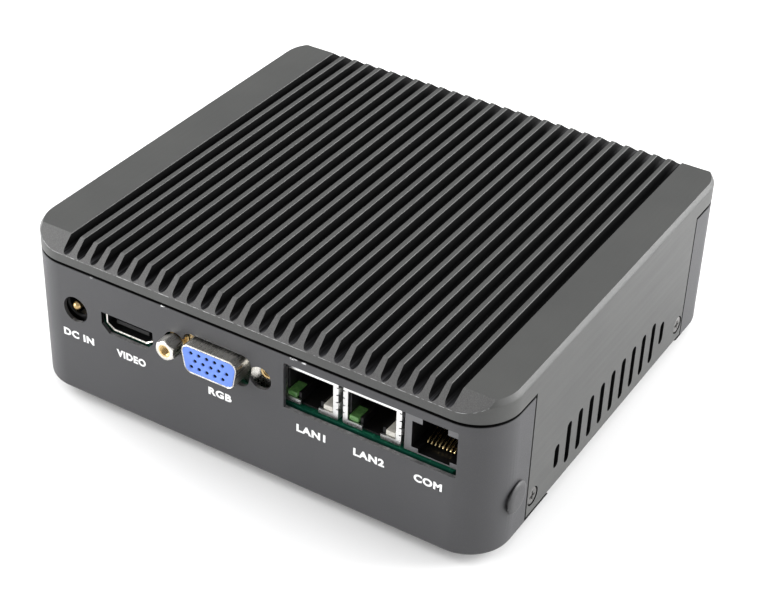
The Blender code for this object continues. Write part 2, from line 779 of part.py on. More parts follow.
def make_power_button():
    cap = REAR + 1.2
    flange = INNER_REAR - 0.4
    stem = flange - 3.5
    profile = [
        (0, cap),
        (BUTTON_R - 0.5, cap),
        (BUTTON_R, cap - 0.5),
        (BUTTON_R, flange),
        (BUTTON_R + 0.7, flange),
        (BUTTON_R + 0.7, flange - 0.8),
        (1.6, flange - 0.8),
        (1.6, stem),
        (0, stem),
    ]
    bm = bmesh.new()
    lathe(bm, profile, "Y", (BUTTON_X, BUTTON_Z), 28)
    build("power_button", bm, NICKEL, pivot=(BUTTON_X, cap, BUTTON_Z), smooth=30)
    near = stem - BUTTON_TRAVEL - GAP
    body = box(BUTTON_X - 4, SIT, BUTTON_X + 4, BUTTON_Z + 4)
    build("power_switch", shape((body, "Y", near - 6, near)), BLACK_PLASTIC)


def make_lights():
    for x, name in zip(LIGHT_X, ("power", "drive")):
        end = REAR - 0.2
        root = INNER_REAR - 9.0
        pipe = build(f"{name}_light_pipe", shape((circle(x, LIGHT_Z, 1.0, 12), "Y", root, end)), CLEAR_LENS)
        block = box(x - 1.6, SIT, x + 1.6, LIGHT_Z + 1.6)
        add(pipe, (block, "Y", root - 3.0, root + 0.5))


clear_scene()
make_cover()
make_tray()
make_side_screws()
make_plugs()
make_feet()
make_board()
make_posts()
make_heat_path()
make_card("memory_socket", "memory_module", 0.0, 0.0, (67.6, 30.0, 1.2), 74.0, 26.0)
make_card("storage_socket", "storage_card", -30.0, -32.0 + 72.0, (29.8, 36.0, 1.0), 32.0, 0.0)
make_coin_cell()
make_dc_jack()
make_video_socket()
make_rgb_socket()
make_jackscrew()
make_lan(LAN_LEFT[0], 1)
make_lan(LAN_LEFT[1], 2)
make_com()
make_usb()
make_power_button()
make_lights()
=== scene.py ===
"""Looks of the fanless firewall appliance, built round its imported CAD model.

Lengths are in millimetres and heights are above the tray's underside; emit() turns them into metres in the
frame's own place. +X is to the right when facing the sockets, +Y is away from them, +Z is up. A node's box,
from span(), says where each piece goes.
"""

import math

import bmesh
import bpy
from mathutils import Matrix, Vector


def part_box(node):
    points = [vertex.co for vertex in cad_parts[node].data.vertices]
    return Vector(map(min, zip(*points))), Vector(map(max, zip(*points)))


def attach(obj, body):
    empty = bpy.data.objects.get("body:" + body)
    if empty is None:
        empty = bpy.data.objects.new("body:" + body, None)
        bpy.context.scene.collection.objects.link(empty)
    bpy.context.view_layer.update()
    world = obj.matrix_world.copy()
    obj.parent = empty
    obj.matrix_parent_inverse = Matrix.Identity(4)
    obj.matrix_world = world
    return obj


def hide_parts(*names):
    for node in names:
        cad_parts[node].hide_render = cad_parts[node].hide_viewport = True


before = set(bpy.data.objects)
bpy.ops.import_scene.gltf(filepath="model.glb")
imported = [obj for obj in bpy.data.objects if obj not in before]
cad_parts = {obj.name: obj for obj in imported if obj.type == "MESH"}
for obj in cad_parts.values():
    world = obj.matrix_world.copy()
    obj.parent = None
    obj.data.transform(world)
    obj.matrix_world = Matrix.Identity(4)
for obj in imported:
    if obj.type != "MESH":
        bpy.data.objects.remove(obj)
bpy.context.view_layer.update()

MM = 0.001
GAP = 0.3
SIDES = ((-1, "left"), (1, "right"))
ENDS = ("front", "rear")
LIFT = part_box("chassis_tray")[0].z / MM


def span(node):
    """Lowest and highest corner of a CAD node, in millimetres above the tray's underside."""
    low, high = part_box(node)
    return low / MM - Vector((0, 0, LIFT)), high / MM - Vector((0, 0, LIFT))


def middle(node):
    low, high = span(node)
    return (low + high) / 2


# Housing
HALF_W = span("chassis_tray")[1].x
HALF_D = span("chassis_tray")[1].y
TOP = span("heatsink_cover")[1].z
SKIRT_LOW = span("heatsink_cover")[0].z
SEAM_LOW = span("chassis_tray")[1].z
SEAM_HIGH = SEAM_LOW + 0.9
CORNER_R = 11.4
WALL = 1.0
FLOOR = 1.2
SEAM_Y = 44.7
SEAM_HALF = 0.3
INNER_FRONT = -HALF_D + WALL
INNER_REAR = HALF_D - WALL
FRONT_CUT = (-HALF_D - 3, INNER_FRONT + 2)

# Finned cover
FINS = 26
FIN_PITCH = 4.13
FIN_SHIFT = 0.5
FIN_TOP = 1.3
FIN_FOOT = 1.75
FIN_ROUND = 0.22
SLOT_DEPTH = 3.34
RIM_IN = 0.9
RIM_DOWN = 1.4
SLAB = 7.94
SKIRT = 1.2
SLOPE_DOWN = 3.5
SLOPE_IN = 4.8
VENTS = 11
VENT_PITCH = 6.03
VENT_W = 2.4
VENT_SPAN = (4.8, 17.2)
VENT_END_SPAN = (7.3, 14.2)

# Openings in the panels
INLET_R = 3.7
INLET_SHIFT = 0.9
RGB_CUT = (21.0, 9.2, 2.6)
LOBE_R = 3.15
WINDOW_LOW = 22.8
WINDOW_HIGH = 35.75
BUTTON_HOLE_R = 4.3
PIPE_R = 1.6
PLUG_HOLE_R = 3.4

# Connectors
RGB_W = 16.8
RGB_H = 8.1
PIN_PITCH = 2.29
ROW_PITCH = 1.98
JACK_REACH = 12.5
THREAD_PITCH = 0.56
THREAD_TURNS = 8
CONTACTS = 8
CONTACT_PITCH = 1.016
CAVITY_HALF = 5.95
LAN_ROOF = 1.3

# Lettering
LETTER_LOW = 17.35
LETTER_HIGH = 2.2
INK = 0.03

# Camera: metres, degrees, and millimetres for the lens
EYE = (0.196366, -0.333667, 0.284606)
AZIMUTH = 30.27627
ELEVATION = 34.85517
ROLL = -2.23476
LENS = 82.263
SENSOR = 36.0


# ------ outlines and solids


def rounded(left, low, right, high, radius, steps=5):
    """Rectangle outline with round corners, counter-clockwise from the lower right."""
    points = []
    corners = ((right, low, -90), (right, high, 0), (left, high, 90), (left, low, 180))
    for u, v, start in corners:
        cu = u - radius if u == right else u + radius
        cv = v - radius if v == high else v + radius
        for i in range(steps + 1):
            angle = math.radians(start + 90 * i / steps)
            points.append((cu + radius * math.cos(angle), cv + radius * math.sin(angle)))
    return points


def front_view(low, high, radius, grow=0.0, steps=5):
    """Outline, seen along Y, of a box with round corners."""
    return rounded(low.x - grow, low.z - grow, high.x + grow, high.z + grow, radius, steps)


def circle(u, v, radius, steps=32):
    turn = [2 * math.pi * (i + 0.5) / steps for i in range(steps)]
    return [(u + radius * math.cos(a), v + radius * math.sin(a)) for a in turn]


def box(left, low, right, high):
    return [(left, low), (right, low), (right, high), (left, high)]


def mirrored(centre, side):
    """Outline that is the same on both sides of a centre, from its left side's (reach, height) points."""
    return [(centre - reach, v) for reach, v in side] + [(centre + reach, v) for reach, v in reversed(side)]


def round_corners(corners, radius, steps):
    """Rounds each corner of a convex outline given counter-clockwise."""
    points = []
    for i, here in enumerate(corners):
        before = corners[i - 1]
        after = corners[(i + 1) % len(corners)]
        back = math.atan2(before[1] - here[1], before[0] - here[0])
        ahead = math.atan2(after[1] - here[1], after[0] - here[0])
        half = ((back - ahead) % (2 * math.pi)) / 2
        reach = radius / math.sin(half)
        cu = here[0] + reach * math.cos(ahead + half)
        cv = here[1] + reach * math.sin(ahead + half)
        for k in range(steps + 1):
            angle = back + math.pi / 2 + (math.pi - 2 * half) * k / steps
            points.append((cu + radius * math.cos(angle), cv + radius * math.sin(angle)))
    return points


def d_outline(x, z, width, height, radius, steps=6):
    """D-shaped connector: wide at the top, its sides leaning in by 10 degrees."""
    lean = height * math.tan(math.radians(10))
    side = [(width / 2, z + height / 2), (width / 2 - lean, z - height / 2)]
    return round_corners(mirrored(x, side), radius, steps)


def place(axis, u, v, along):
    if axis == "X":
        return (along, u, v)
    if axis == "Y":
        return (u, along, v)
    return (u, v, along)


def loft(bm, rings):
    """Closed body through rings that have the same number of points."""
    rows = [[bm.verts.new(point) for point in ring] for ring in rings]
    for low, high in zip(rows, rows[1:]):
        for i in range(len(low)):
            bm.faces.new((low[i - 1], low[i], high[i], high[i - 1]))
    bm.faces.new(rows[0])
    bm.faces.new(rows[-1])


def layers(bm, axis, *levels):
    """Loft through (outline, along) levels across an axis."""
    loft(bm, [[place(axis, u, v, along) for u, v in outline] for outline, along in levels])


def prism(bm, outline, axis, low, high):
    layers(bm, axis, (outline, low), (outline, high))


def lofted(axis, levels):
    bm = bmesh.new()
    layers(bm, axis, *levels)
    return bm


def lathe(bm, profile, axis, centre, steps=40):
    """Turns a closed profile of (radius, along) round a line through centre along the axis."""
    u, v = centre
    verts = [bm.verts.new(place(axis, u + radius, v, along)) for radius, along in profile]
    edges = [bm.edges.new(pair) for pair in zip(verts, verts[1:] + verts[:1])]
    bmesh.ops.spin(
        bm,
        geom=verts + edges,
        cent=place(axis, u, v, 0),
        axis=place(axis, 0, 0, 1),
        angle=2 * math.pi,
        steps=steps,
        use_merge=True,
    )
    bmesh.ops.remove_doubles(bm, verts=bm.verts, dist=0.00001)
    loose = [edge for edge in bm.edges if not edge.link_faces]
    bmesh.ops.delete(bm, geom=loose, context="EDGES")


def turned(profile, axis, centre, steps=40):
    bm = bmesh.new()
    lathe(bm, profile, axis, centre, steps)
    return bm


def wire(bm, x, path, radius, sides=8):
    """Round wire that lies across X, through the (y, z) points of its path."""
    rings = []
    for i, (y, z) in enumerate(path):
        before = path[max(i - 1, 0)]
        after = path[min(i + 1, len(path) - 1)]
        run = math.hypot(after[0] - before[0], after[1] - before[1])
        across = ((before[1] - after[1]) / run, (after[0] - before[0]) / run)
        ring = []
        for k in range(sides):
            angle = 2 * math.pi * k / sides
            side = radius * math.sin(angle)
            ring.append((x + radius * math.cos(angle), y + side * across[0], z + side * across[1]))
        rings.append(ring)
    loft(bm, rings)


def shape(*prisms):
    bm = bmesh.new()
    for args in prisms:
        prism(bm, *args)
    return bm


def add(name, data):
    """Puts an object with that data in the scene."""
    made = bpy.data.objects.new(name, data)
    bpy.context.scene.collection.objects.link(made)
    return made


def solid(name, bm, *looks):
    bmesh.ops.recalc_face_normals(bm, faces=bm.faces)
    mesh = bpy.data.meshes.new(name)
    bm.to_mesh(mesh)
    bm.free()
    for look in looks:
        mesh.materials.append(look)
    return add(name, mesh)


def final_mesh(made):
    graph = bpy.context.evaluated_depsgraph_get()
    return bpy.data.meshes.new_from_object(made.evaluated_get(graph))


def settle(made):
    """Applies the object's modifiers to its mesh."""
    mesh = final_mesh(made)
    made.modifiers.clear()
    made.data = mesh
    return made


def carve(made, bm, operation="DIFFERENCE"):
    tool = solid("tool", bm)
    step = made.modifiers.new("carve", "BOOLEAN")
    step.operation = operation
    step.solver = "EXACT"
    step.object = tool
    settle(made)
    bpy.data.objects.remove(tool)
    return made


def soften(made, width):
    """Rounds every edge that turns by more than 40 degrees."""
    step = made.modifiers.new("soften", "BEVEL")
    step.width = width
    step.segments = 2
    step.limit_method = "ANGLE"
    step.angle_limit = math.radians(40)
    return settle(made)


def paint(made, look, chosen):
    """Gives one of the piece's looks to the faces that chosen(face) picks."""
    index = made.data.materials.find(look.name)
    for face in made.data.polygons:
        if chosen(face):
            face.material_index = index


def split_faces(made):
    """Merges points that fall together and splits faces with many corners into triangles."""
    bm = bmesh.new()
    bm.from_mesh(made.data)
    bmesh.ops.remove_doubles(bm, verts=bm.verts, dist=0.0008)
    bmesh.ops.triangulate(bm, faces=[face for face in bm.faces if len(face.verts) > 4])
    bm.to_mesh(made.data)
    bm.free()


def emit(made, slot, *nodes, body="case", smooth=32):
    """Finishes a piece: metres, place and smooth shading, and hides the CAD nodes it takes the place of."""
    split_faces(made)
    made.data.transform(Matrix.Scale(MM, 4) @ Matrix.Translation((0, 0, LIFT)))
    made.data.shade_smooth()
    made.data.set_sharp_from_angle(angle=math.radians(smooth))
    weigh = made.modifiers.new("weigh", "WEIGHTED_NORMAL")
    weigh.keep_sharp = True
    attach(made, body)
    if nodes:
        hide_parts(*nodes)
    return made


# ------ materials


class Look:
    """One material and short forms for its nodes. Texture coordinates are in metres on the object."""

    def __init__(self, name, **sockets):
        self.material = bpy.data.materials.new(name)
        self.material.use_nodes = True
        self.tree = self.material.node_tree
        self.shader = self.tree.nodes["Principled BSDF"]
        for socket, value in sockets.items():
            self.shader.inputs[socket.replace("_", " ").title().replace("Ior", "IOR")].default_value = value
        self.spot = self.node("ShaderNodeTexCoord").outputs["Object"]

    def node(self, kind, **settings):
        """Adds a node. Capitalised names set its inputs, and the others its properties."""
        made = self.tree.nodes.new(kind)
        for name, value in settings.items():
            if name[0].isupper():
                self.feed(made.inputs[name.replace("_", " ")], value)
            else:
                setattr(made, name, value)
        return made

    def feed(self, socket, value):
        if isinstance(value, bpy.types.NodeSocket):
            self.tree.links.new(value, socket)
        else:
            socket.default_value = value

    def stretch(self, factors):
        if factors is None:
            return self.spot
        return self.node("ShaderNodeMapping", Vector=self.spot, Scale=factors).outputs["Vector"]

    def noise(self, scale, detail=3.0, roughness=0.55, stretch=None):
        settings = {"Scale": scale, "Detail": detail, "Roughness": roughness}
        return self.node("ShaderNodeTexNoise", Vector=self.stretch(stretch), **settings).outputs["Fac"]

    def cells(self, scale, feature="F1"):
        made = self.node("ShaderNodeTexVoronoi", feature=feature, Vector=self.spot, Scale=scale)
        return made.outputs["Distance"]

    def sum(self, operation, first, second=0.0):
        made = self.node("ShaderNodeMath", operation=operation)
        self.feed(made.inputs[0], first)
        self.feed(made.inputs[1], second)
        return made.outputs[0]

    def band(self, value, low=0.3, high=0.7, floor=0.0, ceiling=1.0):
        """Takes a value between low and high to the range from floor to ceiling."""
        limits = {"From_Min": low, "From_Max": high, "To_Min": floor, "To_Max": ceiling}
        return self.node("ShaderNodeMapRange", Value=value, **limits).outputs["Result"]

    def part(self, axis):
        return self.node("ShaderNodeSeparateXYZ", Vector=self.spot).outputs[axis]

    def facing(self, axis):
        """How far the surface's normal points along an axis."""
        normal = self.node("ShaderNodeNewGeometry").outputs["Normal"]
        return self.node("ShaderNodeSeparateXYZ", Vector=normal).outputs[axis]

    def mix(self, factor, first, second):
        made = self.node("ShaderNodeMix", data_type="RGBA")
        self.feed(made.inputs[0], factor)
        for socket, colour in ((made.inputs[6], first), (made.inputs[7], second)):
            self.feed(socket, colour if isinstance(colour, bpy.types.NodeSocket) else (*colour, 1.0))
        return made.outputs[2]

    def tint(self, value, first, second, low=0.3, high=0.7, most=1.0):
        """Colour that goes from first to second as a value goes from low to high."""
        return self.mix(self.band(value, low, high, 0.0, most), first, second)

    def colour(self, value):
        self.feed(self.shader.inputs["Base Color"], value)
        return self

    def roughness(self, value, floor, ceiling, low=0.3, high=0.7):
        self.feed(self.shader.inputs["Roughness"], self.band(value, low, high, floor, ceiling))
        return self

    def bump(self, height, distance, strength=1.0):
        """Adds relief, in metres, on top of any that is there."""
        made = self.node("ShaderNodeBump", Height=height, Distance=distance, Strength=strength)
        links = self.shader.inputs["Normal"].links
        if links:
            self.feed(made.inputs["Normal"], links[0].from_socket)
        self.feed(self.shader.inputs["Normal"], made.outputs["Normal"])
        return self


def grey(level):
    return (level, level, level)


def anodised():
    """Dark bead-blasted, anodised aluminium with faint extrusion lines along Y."""
    look = Look("anodised_black", Metallic=0.0, Specular_IOR_Level=0.5)
    drawn = look.noise(700, stretch=(1.0, 0.03, 1.0))
    grain = look.noise(5200, detail=2.0)
    cloud = look.noise(45)
    tone = look.tint(cloud, (0.036, 0.037, 0.036), (0.046, 0.047, 0.045))
    tone = look.tint(grain, tone, (0.08, 0.08, 0.078), 0.35, 0.75, 0.3)
    look.colour(tone).roughness(drawn, 0.43, 0.48)
    return look.bump(grain, 0.00002, 0.3).bump(drawn, 0.000005, 0.12).material


def painted_shade_anodise():
    """Painted shade: a rough, near-black finish for the slots and the inside of the cover, where shade falls;
    a painted highlight streaks the slot floors paler near the ends.
    """
    look = Look("anodised_painted_shade", Specular_IOR_Level=0.12)
    drawn = look.noise(1500, detail=2.0, stretch=(1.0, 0.02, 1.0))
    grain = look.noise(5200, detail=2.0)
    highlight_near_end = look.band(look.sum("ABSOLUTE", look.part("Y")), (HALF_D - 7.5) * MM, (HALF_D - 1.0) * MM)
    floor = look.sum("MULTIPLY", look.band(look.facing("Z"), 0.35, 0.9), highlight_near_end)
    lines = look.sum("MULTIPLY", floor, look.band(drawn, 0.42, 0.62, 0.1, 1.0))
    # Painted shade: near black everywhere, with a painted highlight of pale streaks on upward-facing slot
    # floors near the ends.
    look.colour(look.mix(lines, (0.0018, 0.0018, 0.002), (0.05, 0.05, 0.055)))
    look.roughness(grain, 0.6, 0.75)
    return look.bump(grain, 0.00002, 0.4).bump(drawn, 0.00001, 0.2).material


def machined():
    """Sawn and re-anodised ends of the fins: a little paler, with a fine torn grain."""
    look = Look("machined_cut", Metallic=0.0, Specular_IOR_Level=0.45)
    speck = look.noise(4300, detail=4.0, roughness=0.75)
    tear = look.noise(1500, detail=2.0, stretch=(0.25, 1.0, 1.0))
    tone = look.tint(speck, (0.040, 0.040, 0.041), (0.105, 0.104, 0.102), high=0.72)
    look.colour(tone).roughness(tear, 0.42, 0.55)
    return look.bump(speck, 0.00002, 0.4).bump(tear, 0.00002, 0.2).material


def bare_edge():
    """Worn corner where the finish has gone thin over bright metal."""
    look = Look("worn_edge", Metallic=0.6, Roughness=0.4)
    wear = look.noise(900, detail=4.0)
    return look.colour(look.tint(wear, grey(0.07), grey(0.42), 0.4, 0.62)).material


def painted_sill_highlight():
    """Painted highlight: a paler, mottled grey for the upward-facing sills of punched openings, where light
    falls on the cut edge.
    """
    look = Look("sill_painted_highlight", Specular_IOR_Level=0.5, Roughness=0.45)
    wear = look.noise(700, detail=4.0)
    return look.colour(look.tint(wear, grey(0.07), grey(0.20), 0.35, 0.65)).material


def shaded_paint():
    """Powder coat inside the tray and on its hidden upper rim, dull, coloured near black as painted shade,
    with a faint mottle.
    """
    look = Look("powder_coat_painted_shade", Specular_IOR_Level=0.1)
    dust = look.noise(1400, detail=3.0)
    # Painted shade: both tones are near black, far darker than the outer powder coat.
    look.colour(look.tint(dust, grey(0.002), grey(0.004), low=0.4))
    return look.roughness(dust, 0.6, 0.8).bump(dust, 0.00002, 0.3).material


def painted():
    """Fine-textured black powder coat, chipped to bare metal in spots along the front panel's top edge."""
    look = Look("powder_coat", Specular_IOR_Level=0.4)
    grain = look.noise(3600, detail=2.0)
    orange = look.noise(700, detail=2.0)
    cloud = look.noise(30)
    tone = look.tint(cloud, (0.040, 0.040, 0.043), (0.048, 0.048, 0.051))
    tone = look.tint(grain, tone, (0.09, 0.09, 0.095), 0.5, 0.8, 0.3)
    edge = (SEAM_LOW + LIFT) * MM
    near_top = look.band(look.part("Z"), edge - 0.00042, edge - 0.00018)
    in_front = look.band(look.part("Y"), (-HALF_D + 0.4) * MM, (-HALF_D + 0.2) * MM)
    chips = look.band(look.noise(105, detail=2.0, stretch=(1.0, 0.0, 0.0)), 0.60, 0.62)
    ragged = look.band(look.noise(1700, detail=2.0, stretch=(0.5, 1.0, 1.0)), 0.42, 0.5)
    chipped = look.sum("MULTIPLY", near_top, in_front)
    for part in (chips, ragged):
        chipped = look.sum("MULTIPLY", chipped, part)
    look.colour(look.mix(chipped, tone, (0.85, 0.85, 0.86)))
    look.roughness(grain, 0.42, 0.55)
    return look.bump(grain, 0.00004, 0.4).bump(orange, 0.00004, 0.25).material


def ink():
    look = Look("printed_ink", Specular_IOR_Level=0.3)
    worn = look.noise(2600, detail=3.0)
    look.colour(look.tint(worn, grey(0.72), grey(0.9)))
    return look.roughness(worn, 0.45, 0.6).bump(worn, 0.00001, 0.3).material


def metal(name, dark, light, rough, brush=(1.0, 0.06, 1.0), fine=2200):
    """Plated or drawn metal with fine lines, faint stains and tiny pits."""
    look = Look(name, Metallic=1.0)
    lines = look.noise(fine, detail=3.0, stretch=brush)
    stain = look.noise(220, detail=4.0)
    look.colour(look.tint(stain, light, dark, low=0.35))
    look.roughness(lines, rough, rough + 0.14)
    return look.bump(lines, 0.000003, 0.3).bump(stain, 0.00001, 0.1).material


def plastic(name, dark, light, rough, sheen=0.5):
    """Moulded plastic with a fine spark-eroded grain."""
    look = Look(name, Specular_IOR_Level=sheen)
    grain = look.noise(4200, detail=2.0)
    flow = look.noise(160, detail=3.0)
    look.colour(look.tint(flow, dark, light))
    look.roughness(grain, rough, rough + 0.14)
    return look.bump(grain, 0.00002, 0.4).bump(flow, 0.00003, 0.12).material


def rubber():
    look = Look("foot_rubber", Specular_IOR_Level=0.3)
    grain = look.noise(1900, detail=4.0, roughness=0.7)
    dust = look.noise(120, detail=5.0)
    look.colour(look.tint(dust, grey(0.014), (0.04, 0.039, 0.037), 0.45, 0.75))
    return look.roughness(dust, 0.75, 0.92).bump(grain, 0.00008, 0.5).material


def circuit_board(name, mask, trace):
    """Solder mask with buried copper traces, gold pads and vias, and a matt cut edge."""
    look = Look(name, Specular_IOR_Level=0.5)
    runs = look.band(look.cells(260, "DISTANCE_TO_EDGE"), 0.02, 0.05)
    vias = look.band(look.cells(420), 0.10, 0.13)
    flat = look.band(look.facing("Z"), 0.5, 0.7)
    face = look.mix(runs, trace, mask)
    face = look.mix(vias, (0.45, 0.36, 0.16), face)
    core = look.tint(look.noise(1500, stretch=(1, 1, 4)), (0.004, 0.045, 0.03), (0.008, 0.08, 0.05))
    look.colour(look.mix(flat, core, face))
    look.roughness(runs, 0.5, 0.3, 0.0, 1.0)
    return look.bump(runs, 0.00004, 0.4).material


def lens(name, colour, deep, glow=0.0):
    look = Look(name, Transmission_Weight=0.25, Roughness=0.15, IOR=1.5)
    cloud = look.noise(900, detail=3.0)
    look.colour(look.tint(cloud, colour, deep))
    look.shader.inputs["Emission Color"].default_value = (*colour, 1.0)
    look.shader.inputs["Emission Strength"].default_value = glow
    return look.bump(cloud, 0.00002, 0.3).material


ANODISED = anodised()
PAINTED_SHADE = painted_shade_anodise()
MACHINED = machined()
WORN = bare_edge()
PAINTED = painted()
SHADED = shaded_paint()
SILL_HIGHLIGHT = painted_sill_highlight()
WHITE_INK = ink()
RUBBER = rubber()
NICKEL = metal("nickel_plate", (0.62, 0.60, 0.55), (0.80, 0.78, 0.73), 0.22)
TIN = metal("bright_tin", (0.70, 0.70, 0.69), (0.88, 0.88, 0.87), 0.25)
STEEL = metal("zinc_steel", (0.42, 0.41, 0.38), (0.64, 0.63, 0.60), 0.28)
BRASS = metal("turned_brass", (0.48, 0.33, 0.15), (0.80, 0.60, 0.30), 0.25)
GOLD = metal("gold_plate", (0.80, 0.58, 0.25), (0.95, 0.76, 0.40), 0.18)
ALUMINIUM = metal("milled_aluminium", (0.40, 0.41, 0.42), (0.56, 0.57, 0.58), 0.38, (1.0, 0.1, 1.0), 1400)
BLACK_ZINC = metal("black_zinc", (0.10, 0.098, 0.095), (0.24, 0.235, 0.23), 0.3)
BLACK = plastic("black_moulding", (0.004, 0.004, 0.0045), (0.007, 0.007, 0.0075), 0.4, 0.3)
SATIN = plastic("satin_plug", (0.036, 0.036, 0.038), (0.046, 0.046, 0.048), 0.45)
GREY = plastic("grey_moulding", (0.10, 0.10, 0.104), (0.13, 0.13, 0.135), 0.4)
BLUE = plastic("blue_moulding", (0.10, 0.20, 0.62), (0.13, 0.25, 0.72), 0.35)
DEEP_BLUE = plastic("deep_blue_moulding", (0.012, 0.03, 0.16), (0.018, 0.04, 0.22), 0.35)
CHIP = plastic("chip_epoxy", grey(0.018), (0.032, 0.032, 0.031), 0.5)
BOARD = circuit_board("solder_mask", (0.004, 0.075, 0.042), (0.012, 0.14, 0.075))
CARD = circuit_board("card_mask", (0.003, 0.05, 0.035), (0.01, 0.10, 0.06))
GREEN_LENS = lens("green_lens", (0.13, 0.30, 0.09), (0.06, 0.17, 0.05), 0.05)
CLEAR_LENS = lens("clear_lens", (0.72, 0.70, 0.64), (0.55, 0.53, 0.48), 0.05)


# ------ housing


def plan(inset):
    """Plan of the housing, drawn in on all sides."""
    half_w, half_d = HALF_W - inset, HALF_D - inset
    return rounded(-half_w, -half_d, half_w, half_d, CORNER_R - inset, 16)


def side_range(sign, near, far):
    """Stretch along X on one side of the housing, from its lower end."""
    return sorted((sign * near, sign * far))


def rgb_centre():
    return middle("rgb_insert").x, middle("jackscrew_left").z


def end_ring(sign, inset, stop_y):
    """Everything outside the inset plan beyond stop_y, as one C-shaped outline."""
    inner = sorted((x, y) for x, y in plan(inset) if y * sign > stop_y)
    far = HALF_W + 6
    edge = sign * stop_y
    half = HALF_W - inset
    deep = sign * (HALF_D + 6)
    return [(-far, edge), (-half, edge), *inner, (half, edge), (far, edge), (far, deep), (-far, deep)]


def fin_section():
    """Section across the fins: skirts, side bands and a comb of round-bottomed slots with eased edges."""
    inside = HALF_W - SKIRT
    slot_top = (FIN_PITCH - FIN_TOP) / 2
    slot_foot = (FIN_PITCH - FIN_FOOT) / 2
    floor = TOP - SLOT_DEPTH
    turns = [math.radians(30 * k) for k in range(4)]
    ease = [(FIN_ROUND * (1 - math.sin(turn)), TOP - FIN_ROUND * (1 - math.cos(turn))) for turn in turns]
    points = [(HALF_W, SKIRT_LOW), (HALF_W, TOP)]
    for i in range(FINS + 1):
        x = (FINS / 2 - i) * FIN_PITCH + FIN_SHIFT
        points += [(x + slot_top + out, z) for out, z in ease]
        for k in range(11):
            turn = -math.pi * k / 10
            points.append((x + slot_foot * math.cos(turn), floor + slot_foot + slot_foot * math.sin(turn)))
        points += [(x - slot_top - out, z) for out, z in reversed(ease)]
    points += [(-HALF_W, TOP), (-HALF_W, SKIRT_LOW), (-inside, SKIRT_LOW)]
    points += [(-inside, TOP - SLAB), (inside, TOP - SLAB), (inside, SKIRT_LOW)]
    return points


def cover_envelope():
    """Round-cornered block that the cover is trimmed to, leaning in over an eased rim chamfer."""
    lean = RIM_IN / RIM_DOWN
    rim = TOP - RIM_DOWN
    levels = [(-3, 0), (rim - 0.35, 0), (rim - 0.1, 0.03), (rim + 0.1, 0.1), (rim + 0.35, 0.35 * lean)]
    levels.append((TOP + RIM_DOWN, 2 * RIM_IN))
    return lofted("Z", [(plan(inset), z) for z, inset in levels])


def vent_outline(index):
    y = (index - (VENTS - 1) / 2) * VENT_PITCH
    low, high = VENT_END_SPAN if index in (0, VENTS - 1) else VENT_SPAN
    return rounded(y - VENT_W / 2, low, y + VENT_W / 2, high, VENT_W / 2 - 0.001, 8)


def screw_profile(sign, extra):
    """Countersunk side screw, or its seat in the skirt when grown by extra."""
    head = 2.25 + extra
    shaft = 1.25 + extra
    outer = HALF_W + (1 if extra else -0.15)
    tip = HALF_W - 7 - extra
    profile = [(0, outer), (head - (0 if extra else 0.12), outer), (head, outer - 0.1), (head, HALF_W - 0.45)]
    profile += [(shaft, HALF_W - 1.5), (shaft, tip), (0, tip)]
    return [(radius, sign * along) for radius, along in profile]


def slope_normal(sign):
    return Vector((0, sign * SLOPE_DOWN, SLOPE_IN)).normalized()


def wear_slope_edge(made):
    """Chamfers the sharp lower edge of each sloped end, where the finish wears through."""
    cut, worn = (made.data.materials.find(look.name) for look in (MACHINED, WORN))
    bm = bmesh.new()
    bm.from_mesh(made.data)
    edges = []
    for edge in bm.edges:
        sloped = [face for face in edge.link_faces if face.material_index == cut]
        upright = [face for face in edge.link_faces if face not in sloped and abs(face.normal.z) < 0.2]
        if sloped and upright and sloped[0].normal.y * upright[0].normal.y > 0.02:
            edges.append(edge)
    settings = {"offset": 0.14, "offset_type": "OFFSET", "segments": 1, "affect": "EDGES"}
    bmesh.ops.bevel(bm, geom=edges, material=worn, clamp_overlap=True, **settings)
    bm.to_mesh(made.data)
    bm.free()


def in_painted_shade(face):
    """Slot walls and floors, the cover's inside, and the walls of the vents: the faces that get the painted
    shade.
    """
    x, y, z = face.center
    if face.material_index:
        return False
    if z > TOP - SLOT_DEPTH - 0.05 and abs(face.normal.y) < 0.1 and abs(x) < HALF_W - 8:
        return z < TOP - FIN_ROUND - 0.02
    if face.normal.z < -0.5 or (abs(x) < HALF_W - 0.1 and abs(face.normal.x) < 0.7 and z < SKIRT_LOW + 18):
        return True
    return Vector((x / HALF_W, y / HALF_D)).dot(face.normal.xy) < -0.3


def make_cover():
    block = shape((fin_section(), "Y", -HALF_D - 3, HALF_D + 3))
    made = solid("finned_cover", block, ANODISED, MACHINED, WORN, PAINTED_SHADE)
    carve(made, cover_envelope(), "INTERSECT")
    rings = [(end_ring(sign, WALL + 0.4, SEAM_Y - SEAM_HALF), "Z", -5, SEAM_HIGH) for sign in (-1, 1)]
    carve(made, shape(*rings))
    cutters = bmesh.new()
    rise = SLOPE_DOWN / SLOPE_IN
    high = TOP + 6
    for sign in (-1, 1):
        edge = sign * (HALF_D + 1)
        back = sign * (HALF_D - (high - TOP + SLOPE_DOWN) / rise)
        prism(cutters, [(edge, TOP - SLOPE_DOWN - rise), (back, high), (edge, high)], "X", -90, 90)
        sides = side_range(sign, HALF_W - SKIRT - 1, HALF_W + 1)
        for index in range(VENTS):
            prism(cutters, vent_outline(index), "X", *sides)
    carve(made, cutters)
    seats = bmesh.new()
    for sign, side in SIDES:
        for end in ENDS:
            centre = middle(f"cover_screw_{side}_{end}")
            lathe(seats, screw_profile(sign, GAP), "X", (centre.y, centre.z))
    carve(made, seats)
    paint(made, MACHINED, lambda face: max(face.normal.dot(slope_normal(sign)) for sign in (-1, 1)) > 0.999)
    wear_slope_edge(made)
    # Painted shade: slot walls and floors, the cover's inside and the vent walls get the near-black finish.
    paint(made, PAINTED_SHADE, in_painted_shade)
    emit(made, "anodised", "heatsink_cover")


